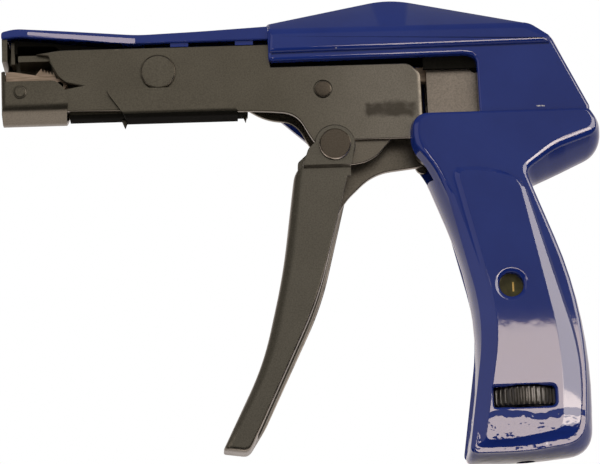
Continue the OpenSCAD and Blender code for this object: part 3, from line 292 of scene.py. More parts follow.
plate_far_rows = [
    [0.0072, 0.7804, 0.0012], [0.4036, 0.7804, 0.0084], [0.4398, 0.7509, 0.0241], *plate_near_rows[11:16],
    [0.6771, 0.6792, 0.0108], [0.694, 0.6264, 0.0084], [0.7096, 0.6234, 0.0084], [0.7084, 0.8242, 0.0072],
    [0.6819, 0.846, 0.0084], [0.4494, 0.846, 0.0018], [0.4494, 0.919, 0.0018], [0.431, 0.919, 0.0018],
    [0.42, 0.9085, 0.003], [0.2241, 0.9065, 0.012], [0.0988, 0.9205, 0.012], [0.0289, 0.9275, 0.006],
    [0.0072, 0.925, 0.0012],
]
rear_rows = [k for k, row in enumerate(plate_near_rows) if row[0] == PLATE_REAR]
plate_near_flat = shrunk(plate_near_rows, PLATE_EDGE)
for k in rear_rows:
    plate_near_flat[k][0] -= REAR_BEVEL
# The rear edge gets more wear than the rest. Its pale round is partly bare steel and partly a painted highlight.
near_wear_and_highlight = np.full(len(plate_near_rows), 0.3)
near_wear_and_highlight[rear_rows] = 0.75
plate_left = stamped("side_sheet_left", plate_near_rows, -PLATE_OUT, -PLATE_IN, PLATE_EDGE, plate_near_flat, near_wear_and_highlight)
plate_right = stamped("side_sheet_right", plate_far_rows, PLATE_IN, PLATE_OUT, worn=0.3)
new_piece(plate_right, plate_finish, "frame", "side_plate_right", slot="steel_black")

# Liner and trigger arm. The liner is a 1 mm plate riveted inside the near side plate, whose rounded lower end shows
# behind the trigger; the arm, blanked from 2 mm steel, shows below it. Both have tumbled edges.
LINER_T, ARM_IN, ARM_T = 1, 1.7, 2
liner_rows = [
    [0.512, 0.7623, 0.0181], [0.5277, 0.6672, 0.0181], [0.5723, 0.6309, 0.012], [0.6145, 0.6385, 0.0241],
    [0.6602, 0.7019, 0.0241], [0.6566, 0.7894, 0.012], [0.5663, 0.8045, 0.012],
]
arm_rows = [
    [0.5217, 0.6717, 0.012], [0.5373, 0.6113, 0.012], [0.5133, 0.5208, 0.009], [0.5434, 0.5087, 0.009],
    [0.5675, 0.5645, 0.0181], [0.6181, 0.6234, 0.0301], [0.7036, 0.6355, 0.0145], [0.7386, 0.6536, 0.0145],
    [0.7349, 0.6928, 0.0145], [0.6627, 0.7034, 0.0181], [0.5819, 0.7155, 0.0145], [0.5301, 0.717, 0.0145],
]
dark_finish = phosphated("Black oxide on folded steel", "#958d80", "#9c9488", -80, 80)
liner = stamped("liner_sheet", liner_rows, -PLATE_IN, -PLATE_IN + LINER_T)
new_piece(liner, dark_finish, "frame", "frame_liner", slot="steel_black")
arm = stamped("arm_sheet", arm_rows, ARM_IN, ARM_IN + ARM_T, worn=0.4)
new_piece(arm, dark_finish, "trigger", "trigger_arm", slot="steel_black")

# Barrel channel. A U of 0.8 mm sheet under the pull rod, folded tighter on its near side than on the far one; a
# small lanced barb hangs from its end. Its faces that look down are painted matt near-black, as painted shade.
THIN_SHEET = 0.8
BARB_HALF = 1.2
UNDERSIDE = -0.35
AXES = {"X": (1, 2, 0), "Y": (0, 2, 1), "Z": (0, 1, 2)}


def prism(name, path, axis, low, high):
    """A straight bar along an axis, from low to high, whose section is the path in the other two axes."""
    first, second, through = AXES[axis]
    rings = np.zeros((2, len(path), 3))
    rings[..., [first, second]] = np.asarray(path, float)
    rings[..., through] = [[low], [high]]
    return skin(name, rings)


def oblong(left, low, right, high):
    """A rectangle's four corners."""
    return [(left, low), (right, low), (right, high), (left, high)]


def combined(piece, how, *others):
    """Solids joined to, cut from or shared with the piece; the others are used up."""
    for other in others:
        step = piece.modifiers.new(how, "BOOLEAN")
        step.operation, step.solver, step.object = how, "MANIFOLD", other
    mesh = bpy.data.meshes.new_from_object(piece.evaluated_get(bpy.context.evaluated_depsgraph_get()))
    piece.modifiers.clear()
    piece.data = mesh
    for other in others:
        bpy.data.objects.remove(other)
    return piece


def sheet_fold(corners, sheet):
    """The closed section of a folded sheet: its outer corners (y, z), from one rim down and round to the other.

    The inner side repeats them moved in by the sheet, and every corner is rounded as in an outline."""
    corners = np.asarray(corners, float)
    ahead = np.diff(corners, axis=0)
    ahead /= np.linalg.norm(ahead, axis=1)[:, None]
    normal = np.stack([-ahead[:, 1], ahead[:, 0]], 1)
    before, after = np.vstack([normal[:1], normal]), np.vstack([normal, normal[-1:]])
    inner = corners + sheet * (before + after) / (1 + (before * after).sum(1))[:, None]
    return np.vstack([corners, inner[::-1]])


def rounded(corners, reach, steps=7):
    """Any closed polygon with its corners rounded: b + r (1 - s)^2 u + r s^2 v, one reach r in mm per corner."""
    b = np.asarray(corners, float)
    rows = np.column_stack([b / [TOOL_LENGTH, TOOL_HEIGHT] + [0.5, 0], np.asarray(reach, float) / TOOL_LENGTH])
    return soft_outline(rows, steps)


def painted_shade_under(piece):
    """Paints shade on the faces that look down: those whose unit normal has z under UNDERSIDE take the matt
    near-black.
    """
    piece.data.materials.append(painted_shade_black)
    normals = np.empty((len(piece.data.polygons), 3), np.float32)
    piece.data.polygons.foreach_get("normal", normals.ravel())
    piece.data.polygons.foreach_set("material_index", (normals[:, 2] < UNDERSIDE).astype(np.int32))


CHANNEL_TOP, CHANNEL_FLOOR, CHANNEL_FRONT, CHANNEL_END = 105.7, 99.5, -64.4, -15.0
near_side = [(-PLATE_IN, CHANNEL_TOP), (-PLATE_IN, CHANNEL_FLOOR)]
channel_corners = near_side + [(PLATE_IN, CHANNEL_FLOOR), (PLATE_IN, CHANNEL_TOP)]
channel_section = rounded(sheet_fold(channel_corners, THIN_SHEET), [0.2, 1.9, 3.4, 0.2, 0.2, 2.6, 1.1, 0.2])
channel = prism("channel_sheet", channel_section, "X", CHANNEL_FRONT, CHANNEL_END)
barb_path = [(-16.4, 99.9), (-15.6, 98.0), (-15.1, 99.9)]
combined(channel, "UNION", prism("barb", barb_path, "Y", -BARB_HALF, BARB_HALF))
channel_finish = phosphated("Black oxide on the folded channel", "#6c665a", roughness=0.38)
# A matt near-black for painted shade, on faces that look down and on the works deep inside the tool.
painted_shade_black = phosphated("Matt black painted shade", "#100f0c", "#161512", -80, 80, 0.8, metallic=0.0, level=0.05)
new_piece(channel, channel_finish, "frame", "barrel_channel", slot="steel_dark")
painted_shade_under(channel)

# Nose cap and saddle clip. Two sheets folded up over the side plates. The cap is closed in front and chamfered along
# both lower edges; the clip is folded tight on the near side and chamfered on the far one, has a lanced barb below,
# and lies with its upper edge over the lever pin's head.
CAP_OUT, CAP_SHEET, CAP_FRONT, CAP_END = 7.2, 1.1, -83, -60
CLIP_FRONT, CLIP_END, CLIP_FLOOR = -57, -14, 98.7
FOLD_TOP, SIDE_REACH = 118, 8
cap_rows = [
    [0, 0.7442, 0.0012], [0.106, 0.7442, 0.0012], [0.1108, 0.7774, 0.006], [0.106, 0.8106, 0.0108],
    [0.0892, 0.8279, 0.006], [0.0066, 0.8279, 0.0012], [0.0066, 0.8498, 0.0012], [0, 0.8498, 0.0012],
]
cap_corners = [
    (-CAP_OUT, FOLD_TOP), (-CAP_OUT, 101.4), (-1.3, 98.7), (1.3, 98.7), (CAP_OUT, 101.4), (CAP_OUT, FOLD_TOP),
]
cap_section = rounded(cap_corners, [0.2, 2.1, 0.7, 0.7, 2.1, 0.2])
cap_in = CAP_OUT - CAP_SHEET
cap_inside = [(-cap_in, 130), (-cap_in, 102), (-1.2, 99.8), (1.2, 99.8), (cap_in, 102), (cap_in, 130)]
cap = prism("nose_cap_sheet", cap_section, "X", CAP_FRONT, CAP_END)
cap_plan = rounded(oblong(CAP_FRONT, -CAP_OUT, CAP_END, CAP_OUT), [1.5, 0.1, 0.1, 1.5])
cap_side = prism("side", soft_outline(cap_rows), "Y", -SIDE_REACH, SIDE_REACH)
combined(cap, "INTERSECT", cap_side, prism("plan", cap_plan, "Z", 90, 120))
combined(cap, "DIFFERENCE", prism("inside", cap_inside, "X", CAP_FRONT + CAP_SHEET, CAP_END + 10))
clip_rows = [
    [0.2096, 0.7396, 0.0024], [0.394, 0.7396, 0.0024], [0.3892, 0.7623, 0.0024], [0.359, 0.7751, 0.006],
    [0.2892, 0.8053, 0.006], [0.1747, 0.8068, 0.0048], [0.1783, 0.794, 0.0036], [0.1952, 0.7638, 0.0036],
]
clip_corners = [
    (-CAP_OUT, FOLD_TOP), (-CAP_OUT, CLIP_FLOOR), (2.0, CLIP_FLOOR), (CAP_OUT, 102.5), (CAP_OUT, FOLD_TOP),
]
clip_reach = [0.2, 1.9, 0.8, 1.4, 0.2, 0.2, 0.8, 0.6, 1.2, 0.2]
clip_section = rounded(sheet_fold(clip_corners, THIN_SHEET), clip_reach, 11)
clip = prism("saddle_clip_sheet", clip_section, "X", CLIP_FRONT, CLIP_END)
combined(clip, "INTERSECT", prism("side", soft_outline(clip_rows), "Y", -SIDE_REACH, SIDE_REACH))
clip_barb = [(-50.1, 99.4), (-49.2, 97.2), (-48.3, 99.4)]
combined(clip, "UNION", prism("barb", clip_barb, "Y", -BARB_HALF, BARB_HALF))
new_piece(clip, plate_finish, "frame", "saddle_clip", slot="steel_black")
# The clip's faces that look down are painted near-black, as painted shade.
painted_shade_under(clip)

# Pins. Each is turned on a lathe with a broad flat head and a small chamfer, pressed through both plates and spun
# over. The lever pin, the frame rivet and the nose pin sit in counterbored seats, so a dark ring shows round them.
LEVER_AT, PIVOT_AT, RIVET_AT, NOSE_PIN_AT = (-39.6, 111.4), (8.6, 89.0), (6.0, 105.3), (-77.8, 106.5)


def turned(name, centre, rows, sides=72, worn=()):
    """A solid of revolution across the tool: ring k is centre + radius_k (cos a, sin a) at depth y_k."""
    rows = np.asarray(rows, float)
    a = np.linspace(0, 2 * math.pi, sides, endpoint=False)
    rings = np.empty((len(rows), sides, 3))
    rings[..., 0] = centre[0] + rows[:, :1] * np.cos(a)
    rings[..., 1] = rows[:, 1:2]
    rings[..., 2] = centre[1] + rows[:, :1] * np.sin(a)
    wear = np.zeros(len(rows))
    wear[list(worn)] = 1
    return skin(name, rings, wear)


def headed(radius, face, back, chamfer):
    """Rows of a flat head: a face with a small dished ring, a chamfer, and an upright rim down to its back."""
    return [
        (radius * 0.3, face), (radius - chamfer - 0.12, face), (radius - chamfer, face + 0.02),
        (radius - 0.06, face + chamfer * 0.9), (radius, face + chamfer + 0.06), (radius, back),
    ]


def mirrored(piece):
    """The piece turned into its mirror image on the other side of the tool."""
    piece.data.transform(Matrix.Diagonal((1, -1, 1, 1)))
    piece.data.flip_normals()
    return piece


lever_seat = turned("seat", LEVER_AT, [(5.1, -6.4), (5.0, -5.8)])
rivet_seat = turned("seat", RIVET_AT, [(2.72, -6.4), (2.6, -5.6)])
combined(plate_left, "DIFFERENCE", lever_seat, rivet_seat)
new_piece(plate_left, plate_finish, "frame", "side_plate_left", slot="steel_black")
LEVER_HEAD, PIVOT_HEAD = 4.75, 4.4
lever_head = turned("lever_pin_head", LEVER_AT, headed(LEVER_HEAD, -7.15, -6.0, 0.3), worn=(3, 4))
hidden_half = prism("under_clip", rounded([(-50, 95), (-30, 95), (-30, 106.6), (-50, 106.9)], [0.1] * 4), "Y", -9, -5)
combined(lever_head, "DIFFERENCE", hidden_half)
lever_far = mirrored(turned("lever_pin_far", LEVER_AT, headed(LEVER_HEAD, -7.2, -6.0, 0.3)[::-1], worn=(3,)))
lever_shank = turned("lever_pin_shank", LEVER_AT, [(2.4, -PLATE_OUT), (2.4, PLATE_OUT)])
combined(lever_head, "UNION", lever_far, lever_shank)
new_piece(lever_head, plate_finish, "frame", "lever_pin", slot="steel_dark")
pivot_rows = headed(PIVOT_HEAD, -8.82, -7.9, 0.42) + [(2.9, -7.9), (2.9, 7.75), (1.0, 7.75)]
pivot_pin = turned("trigger_pin_turned", PIVOT_AT, pivot_rows, worn=(3, 4))
pin_finish = phosphated("Phosphate on turned pins", "#7a7064")
new_piece(pivot_pin, pin_finish, "frame", "trigger_pin", slot="steel_dark")
rivet_rows = [
    (0.3, -6.4), (1.9, -6.4), (2.1, -6.36), (2.3, -6.24), (2.38, -6.05), (2.38, -5.72), (2.0, -5.7),
    (2.0, PLATE_OUT), (0.8, PLATE_OUT),
]
# The rivet's worn rim ring shows pale. It is partly bare steel and partly a painted highlight round the head.
rivet = turned("frame_rivet_head", RIVET_AT, rivet_rows, worn=(3,))
new_piece(rivet, pin_finish, "frame", "frame_rivet", slot="steel_dark")
nose_rows = [
    (0.3, -7.48), (1.2, -7.48), (1.3, -7.42), (1.4, -7.1), (1.52, -7.1), (1.6, -7.24), (1.75, -7.19),
    (1.5, -7.0), (1.5, CAP_OUT), (0.8, CAP_OUT),
]
nose_pin = turned("nose_pin_head", NOSE_PIN_AT, nose_rows, worn=(5,))
combined(cap, "DIFFERENCE", turned("pin_seat", NOSE_PIN_AT, [(1.98, -7.5), (1.92, -6.9)]))
new_piece(cap, plate_finish, "frame", "nose_cap", slot="steel_black")
new_piece(nose_pin, plate_finish, "frame", "nose_pin", slot="steel_black")

# Ramp and gripper. The strap tail climbs a ground ramp of bare tool steel and is held by the toothed gripper just
# above it; both are hardened and left uncoated, with a warm straw temper colour and grinding lines along the tool.
# The pull rod, its link, the screw, its bush and nut and the springs are as bare.
def dressed(material, *names):
    """Gives nodes of the frame their finish."""
    for name in names:
        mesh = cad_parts[name].data
        mesh.materials.clear()
        mesh.materials.append(material)


def grained(name, scale, dark, pale, gloss=None, detail=3.0, stretch=None, **sockets):
    """A finish with one grain of about 1 / scale metres in its colour, and in its roughness where gloss is given."""
    material, tree, shader = finish_of(name, **sockets)
    grain = noise(tree, add_node(tree, "ShaderNodeTexCoord").outputs["Object"], scale, detail, stretch)
    tree.links.new(mixed(tree, stepped(tree, grain, 0.3, 0.7), dark, pale), shader.inputs["Base Color"])
    if gloss:
        tree.links.new(stepped(tree, grain, 0.3, 0.7, *gloss), shader.inputs["Roughness"])
    return material


grinding = {"gloss": (0.34, 0.5), "detail": 4.0, "stretch": (0.3, 1, 2.5)}
ramp_finish = grained("Ground and tempered tool steel", 900.0, "#c6af9b", "#ad9884", Metallic=0.55, **grinding)
ramp_corners = [(-81.8, 102.6), (-68.4, 102.6), (-68.3, 109.7), (-73.4, 111.5), (-80, 112.7), (-81.7, 112.6)]
ramp = prism("nose_ramp_ground", rounded(ramp_corners, [0.3, 0.3, 0.3, 0.8, 0.8, 0.3]), "Y", -PLATE_OUT, PLATE_IN)
combined(ramp, "DIFFERENCE",
    prism("gripper_room", oblong(-80, 104.6, -60, 120), "Y", -3.2, 3.2),
    prism("plate_seat", oblong(-75.2, 90, -60, 107.3), "Y", -7, -PLATE_IN),
)
new_piece(ramp, ramp_finish, "frame", "nose_ramp", slot="steel_bare")
TEETH = 5
tooth_foot = np.linspace([-68.2, 112.0], [-72.4, 113.4], TEETH + 1)
crests = tooth_foot[:-1] + [-0.5, 1.2]
teeth = np.stack([tooth_foot[:-1], crests], 1).reshape(-1, 2)
pawl_foot = [(-72.0, 108.4), (-67.0, 106.9), (-64.9, 109.2), (-66.2, 111.2), (-68.0, 111.3)]
pawl_path = np.vstack([pawl_foot, teeth, [(-72.9, 113.3), (-75.0, 111.0), (-75.0, 109.6)]])
pawl = prism("gripper_toothed", pawl_path, "Y", -2.9, 2.9)
combined(pawl, "DIFFERENCE", prism("rod_slot", oblong(-71, 100, -60, 111.2), "Y", -1.3, 1.3))
new_piece(pawl, ramp_finish, "gripper", "gripper_pawl", slot="steel_bare")
dressed(ramp_finish, "pull_rod", "pull_link", "screw_bush", "adjusting_screw", "spring_nut", "tension_spring")

# Works inside. A long cut-off lever lies over the pull rod with a small blade on its front lip. It, the yoke guide
# and the small pins and rivets are painted matt near-black, as painted shade for the dark inside of the tool; the
# crank and screws are phosphated like the plates, and the milled yoke block is paler.
shade_black_parts = ["cutoff_lever", "blade_rivets", "link_pin", "yoke_guide", "crank_pin"]
dressed(painted_shade_black, *shade_black_parts, "arm_rivets", "arm_pin", "yoke_pin", "pawl_pin")
dressed(plate_finish, "nose_wall", "upper_jaw", "bell_crank", "cutter_blade", "housing_screws")
dressed(phosphated("Pale phosphate on a milled block", "#bcb1a4", "#c4b8ac", 20, 40, 0.34), "rod_yoke")

# Trigger. One pressed channel, open towards the grip: two flanges bent back from a rounded web, hung by two ears that
# step out over the side plates. Its cut rear edges and its tip are worn to bare metal.
TRIGGER_OUT = 6.2
TRIGGER_WALL = 1.5
TRIGGER_BEND = 2.6
EAR_IN, EAR_OUT = 6.25, 7.75
trigger_near_rows = [
    [0.4976, 0.634, 0.0036], [0.4952, 0.6113, 0.009], [0.4741, 0.4151, 0.0602], [0.4367, 0.2189, 0.0542],
    [0.3602, 0.0468, 0.0048], [0.3916, 0.0408, 0.0096], [0.4115, 0.088, 0.012], [0.513, 0.3509, 0.0602],
    [0.579, 0.634, 0.0036],
]
trigger_mid_rows = [
    [0.488, 0.6234, 0.0036], [0.4825, 0.6113, 0.009], [0.4584, 0.4075, 0.0602], [0.4205, 0.2189, 0.0542],
    [0.3494, 0.0423, 0.0048], [0.3916, 0.0347, 0.0096], [0.412, 0.083, 0.012], [0.5157, 0.3509, 0.0542],
    [0.5759, 0.634, 0.0036],
]
trigger_far_rows = trigger_near_rows[:5] + [
    [0.394, 0.0408, 0.0096], [0.4217, 0.086, 0.012], [0.5253, 0.3472, 0.0542], [0.5855, 0.634, 0.0036],
]
trigger_room_rows = [
    [0.5012, 0.6792, 0.0024], [0.4952, 0.6264, 0.0036], [0.4681, 0.4113, 0.0602], [0.4301, 0.2234, 0.0542],
    [0.3759, 0.0906, 0.006], [0.4157, 0.0679, 0.006], [0.5422, 0.3472, 0.0542], [0.6145, 0.6792, 0.0024],
]
near_ear_rows = [
    [0.497, 0.629, 0.0024], [0.5789, 0.629, 0.0024], [0.5855, 0.6747, 0.0036], [0.5723, 0.6943, 0.006],
    [0.5313, 0.6943, 0.006], [0.507, 0.664, 0.0036],
]
far_ear_rows = [[0.491, 0.629, 0.0024], *near_ear_rows[1:4], [0.523, 0.6943, 0.006], [0.4925, 0.66, 0.0036]]
FLANGE_EDGE = 0.5
edge_turn = np.linspace(0, math.pi / 2, 6)
edge_depth = FLANGE_EDGE * (1 - np.cos(edge_turn))
depths = np.concatenate([edge_depth, np.linspace(FLANGE_EDGE, TRIGGER_BEND, 8)[1:]])
insets = np.interp(depths, edge_depth, FLANGE_EDGE * (1 - np.sin(edge_turn)))
bends = np.sqrt(1 - (1 - depths / TRIGGER_BEND) ** 2)
worn_rows = np.repeat([0, 0, 0, 0, 0.7, 1, 1, 1, 0.6], CORNER_STEPS)
edge_wear = np.interp(depths, edge_depth, np.sin(2 * edge_turn))[:, None] * worn_rows


def flange(rows, side):
    """Half of the channel: at depth d in the bend b the outline is near + sqrt(1 - (1 - d / b)^2) (mid - near)."""
    return np.array([
        ring_at(shrunk(between(rows, trigger_mid_rows, bend), inset), side * (TRIGGER_OUT - d))
        for bend, inset, d in zip(bends, insets, depths)
    ])


web = np.concatenate([flange(trigger_near_rows, -1), flange(trigger_far_rows, 1)[::-1]])
trigger = skin("trigger_pressed", web, np.concatenate([edge_wear, edge_wear[::-1]]))
hollow_half = TRIGGER_OUT - TRIGGER_WALL
combined(trigger, "DIFFERENCE", prism("hollow", soft_outline(trigger_room_rows), "Y", -hollow_half, hollow_half))
step_path = [
    (TRIGGER_OUT, 82.7), (EAR_OUT, 83.4), (EAR_OUT, 84.4), (EAR_IN, 84.4), (4.7, 82.6), (4.7, 80.5), (6.19, 80.5),
]
for side, rows in ((-1, near_ear_rows), (1, far_ear_rows)):
    low, high = sorted((side * EAR_IN, side * EAR_OUT))
    eye = turned("eye", PIVOT_AT, [(5.4, low), (5.7, low + 0.3), (5.7, high - 0.3), (5.4, high)])
    step = prism("step", [(side * y, z) for y, z in step_path][:: side], "X", -0.2, 12.8)
    combined(trigger, "UNION", step, stamped("neck", rows, low, high, 0.2, worn=0.4), eye)
olive_phosphate = phosphated("Olive phosphate on the pressed trigger", "#8a857a")
new_piece(trigger, olive_phosphate, "trigger", "trigger", slot="steel_black")

# Return spring. Bent from 1.2 mm spring wire and left bare: two and a half turns round the trigger pin, with one leg
# behind the frame rivet and one on the trigger's web, so the turns between them wind up when the trigger is pulled.
SPRING_WIRE, SPRING_TURNS, SPRING_FROM, SPRING_PITCH, SPRING_RADIUS = 1.2, 2.5, -2.3, 1.3, 4.2


def bent_wire(name, path, thick, sides=16):
    """A round wire: ring p + r (u cos a + v sin a), with t the path's direction, u = t x Y and v = u x t.

    The path is first eased at its corners: each point becomes the mean of seven neighbours."""
    path = np.lib.stride_tricks.sliding_window_view(np.pad(path, ((3, 3), (0, 0)), mode="edge"), 7, axis=0).mean(-1)
    t = np.gradient(path, axis=0)
    t /= np.linalg.norm(t, axis=1)[:, None]
    u = np.cross(t, [0, 1, 0])
    u /= np.linalg.norm(u, axis=1)[:, None]
    a = np.linspace(0, 2 * math.pi, sides, endpoint=False)[None, :, None]
    return skin(name, path[:, None] + thick / 2 * (u[:, None] * np.cos(a) + np.cross(u, t)[:, None] * np.sin(a)))


wound = np.linspace(0, SPRING_TURNS, 120)
coil_angle = math.radians(-75) + 2 * math.pi * wound
coil = np.column_stack([
    PIVOT_AT[0] + SPRING_RADIUS * np.cos(coil_angle), SPRING_FROM + SPRING_PITCH * wound,
    PIVOT_AT[1] + SPRING_RADIUS * np.sin(coil_angle),
])
web_leg = np.linspace((-0.25, SPRING_FROM, 76.5), coil[0], 30)[:-1]
rivet_leg = np.linspace(coil[-1], (3.4, coil[-1][1], 104.0), 30)[1:]
return_spring = smooth(bent_wire("return_spring", np.vstack([web_leg, coil, rivet_leg]), SPRING_WIRE))
return_spring.data.materials.append(ramp_finish)
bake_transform(return_spring)
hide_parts("trigger_spring")

# Tension wheel and numbers. The moulded nylon wheel has 44 rounded ribs for the fingertip and turns the screw, which
# moves the nut and its lacquered number plate past the window in the grip; the numbers are printed on the plate.
WHEEL_AT, WHEEL_R, WHEEL_LOW, WHEEL_HIGH, RIBS, RIB = (57.3, 16.6), 10.8, 14.5, 19.7, 44, 0.55


def ribbed(rows):
    """Wheel rings: ring k stands at height z_k with radius r_k - h c, c = 1/2 - 1.2 cos 44 a held between 0 and 1."""
    rows = np.asarray(rows, float)
    a = np.linspace(0, 2 * math.pi, RIBS * 14, endpoint=False)
    valley = np.clip(0.5 - 1.2 * np.cos(RIBS * a), 0, 1)
    r = rows[:, :1] - rows[:, 2:] * valley
    return np.stack([WHEEL_AT[0] + r * np.cos(a), r * np.sin(a), np.broadcast_to(rows[:, 1:2], r.shape)], 2)


wheel_rim = [
    (2.0, 0, 0), (WHEEL_R - 1.1, 0, 0), (WHEEL_R - 0.45, 0.2, RIB * 0.4),
    (WHEEL_R - 0.08, 0.55, RIB), (WHEEL_R, 0.9, RIB),
]
wheel_rows = [(r, WHEEL_LOW + d, h) for r, d, h in wheel_rim] + [(r, WHEEL_HIGH - d, h) for r, d, h in wheel_rim[::-1]]
# The nylon looks soft black with a little dust in its grain, the lacquer a flat brassy olive, the ink a pale gold.
dusty = {"gloss": (0.3, 0.42), "IOR": 1.53}
wheel_finish = grained("Moulded black nylon, dusty on its ribs", 900.0, "#332f28", "#403b32", **dusty)
olive_finish = grained("Olive lacquer on brass plate", 700.0, "#5c5630", "#4a4526", Roughness=0.42, Metallic=0.2)
gold_finish = grained("Gold printing ink", 3000.0, "#ffd680", "#efbd62", Metallic=0.3, Roughness=0.4)
wheel = skin("thumbwheel_ribbed", ribbed(wheel_rows))
new_piece(wheel, wheel_finish, "wheel", "thumbwheel", slot="wheel_black", angle=40)
dressed(olive_finish, "number_plate")
DIGIT_AT, DIGIT_STEP, DIGIT_SIZE, CARD_FACE = (55.6, 46.1), 6, 3.7, -8.0
for k in range(3):
    font = bpy.data.curves.new("number", "FONT")
    font.body, font.size, font.align_x = str(k + 1), DIGIT_SIZE * MM, "CENTER"
    font.extrude, font.offset = 0.03 * MM, 0.05 * MM
    typed = placed("number", font)
    digit_mesh = bpy.data.meshes.new_from_object(typed.evaluated_get(bpy.context.evaluated_depsgraph_get()))
    bpy.data.objects.remove(typed)
    place = (DIGIT_AT[0] * MM, (CARD_FACE - 0.01) * MM, (DIGIT_AT[1] + k * DIGIT_STEP) * MM)
    digit_mesh.transform(Matrix.Translation(place) @ Matrix.Rotation(math.pi / 2, 4, "X"))
    new_piece(placed(f"number_{k + 1}", digit_mesh), gold_finish, "nut", slot="number_olive", angle=None)

# Housing halves. Two die castings in a thick glossy blue enamel: an upper housing with a raised band and a pitched
# roof, and a grip with a flat hand panel. Every rim is a shallow bevel that runs into a round.
COVER_HALF, BAND_HALF, GRIP_HALF, PANEL_HALF = 8.7, 9.6, 10, 11
cover_face_rows = [
    [0.4464, 0.8543, 0.0072], [0.7729, 0.8589, 0.0048], [0.7952, 0.8543, 0.0157], [0.7958, 0.72, 0.0036],
    [0.9771, 0.72, 0.0036], [0.9813, 0.7351, 0.006], [0.9217, 0.8921, 0.0096], [0.8855, 0.9185, 0.012],
    [0.6566, 0.9238, 0.0241], [0.4464, 0.92, 0.006],
]
cover_part_rows = [
    [0.4452, 0.8543, 0.0072], *cover_face_rows[1:4], [0.9843, 0.72, 0.0036], [0.9873, 0.7411, 0.006],
    [0.9313, 0.9072, 0.012], [0.8964, 0.9374, 0.012], [0.6566, 1, 0.0361], [0.4452, 0.9509, 0.0072],
]
shell_face_rows = [
    [0.4464, 0.7743, 0.006], [0.5217, 0.6898, 0.006], [0.5843, 0.723, 0.0181], [0.7349, 0.72, 0.006],
] + cover_face_rows[4:]
shell_part_rows = [
    [0.4452, 0.7713, 0.006], [0.5235, 0.6853, 0.006], [0.5843, 0.72, 0.0181], [0.7349, 0.72, 0.006],
] + cover_part_rows[4:]
band_foot_rows = [
    [0.448, 0.8702, 0.003], [0.9211, 0.877, 0.0015], [0.9205, 0.8921, 0.0048], [0.8855, 0.9223, 0.012],
    [0.448, 0.9238, 0.0036],
]
band_face_rows = [
    [0.45, 0.874, 0.003], [0.9133, 0.8808, 0.0015], [0.912, 0.8883, 0.0036], [0.8753, 0.9125, 0.012],
    [0.4524, 0.9132, 0.0036],
]
grip_face_rows = [
    [0.6825, 0.7313, 0.0277], [0.6819, 0.6642, 0.0205], [0.7145, 0.6113, 0.0241], [0.8012, 0.3396, 0.1687],
    [0.7524, 0.0128, 0.0108], [0.8434, 0.0128, 0.0301], [0.9386, 0.0302, 0.0331], [0.9578, 0.2868, 0.1446],
    [0.8663, 0.6008, 0.0133], [0.9187, 0.646, 0.0181], [0.988, 0.6762, 0.0133], [0.9904, 0.7064, 0.0108],
    [0.9783, 0.7313, 0.006],
]
grip_part_rows = [
    [0.6783, 0.7313, 0.0277], [0.6747, 0.6566, 0.0205], [0.7024, 0.6098, 0.0241], [0.794, 0.3019, 0.1687],
    [0.747, 0, 0.0145], [0.8554, 0, 0.0301], [0.9554, 0.0121, 0.0392], [0.9639, 0.2868, 0.1446],
    [0.8759, 0.5796, 0.0145], [0.9247, 0.6053, 0.0181], [1, 0.6491, 0.0301], [1, 0.7125, 0.0145],
    [0.9855, 0.7313, 0.006],
]
panel_foot_rows = [
    [0.7229, 0.6143, 0.02], [0.7837, 0.2868, 0.0675], [0.7488, 0.0151, 0.012], [0.8434, 0.016, 0.03],
    [0.926, 0.025, 0.034], [0.9525, 0.19, 0.1], [0.868, 0.568, 0.03], [0.82, 0.618, 0.06],
]
panel_top_rows = [
    [0.748, 0.605, 0.016], [0.805, 0.2868, 0.066], [0.769, 0.033, 0.01], [0.8217, 0.033, 0.03],
    [0.928, 0.054, 0.024], [0.942, 0.183, 0.09], [0.857, 0.582, 0.02], [0.8012, 0.6075, 0.05],
]
panel_crown_rows = [
    [0.7524, 0.6015, 0.016], [0.8096, 0.2868, 0.066], [0.7729, 0.0377, 0.01], [0.8217, 0.0385, 0.03],
    [0.9024, 0.0566, 0.02], [0.9096, 0.2264, 0.08], [0.8535, 0.58, 0.02], [0.8012, 0.603, 0.05],
]
grip_flat_rows = [
    [0.701, 0.724, 0.0277], [0.701, 0.67, 0.0205], [0.733, 0.595, 0.0241], [0.813, 0.3396, 0.1687],
    [0.7555, 0.0158, 0.0108], [0.8434, 0.0158, 0.0301], [0.9365, 0.033, 0.0331], [0.949, 0.2868, 0.1446],
    [0.857, 0.611, 0.0133], [0.9145, 0.665, 0.0181], [0.979, 0.694, 0.0133], [0.981, 0.7064, 0.0108],
    [0.973, 0.725, 0.006],
]
pocket_rows = [
    [0.3735, 0.6038, 0.006], [0.5843, 0.6189, 0.006], [0.7108, 0.6189, 0.006], [0.7108, 0.8498, 0.006],
    [0.4518, 0.8498, 0.003], [0.3735, 0.8498, 0.006],
]
lever_room_rows = [
    [0.4217, 0.8453, 0.003], [0.8928, 0.8453, 0.003], [0.8928, 0.9177, 0.006], [0.8614, 0.926, 0.012],
    [0.6566, 0.9404, 0.012], [0.4217, 0.9147, 0.003],
]
crank_room_rows = [
    [0.6892, 0.5992, 0.012], [0.738, 0.5826, 0.012], [0.8759, 0.634, 0.012], [0.894, 0.6792, 0.006],
    [0.894, 0.8528, 0.003], [0.694, 0.8528, 0.003], [0.694, 0.6792, 0.006],
]
spring_room_rows = [
    [0.8145, 0.1555, 0.006], [0.8819, 0.1555, 0.006], [0.8819, 0.3925, 0.0241], [0.8729, 0.5057, 0.0241],
    [0.8627, 0.5585, 0.0181], [0.8627, 0.6491, 0.006], [0.8277, 0.6491, 0.006], [0.8145, 0.5283, 0.0361],
    [0.8145, 0.3774, 0.0181],
]
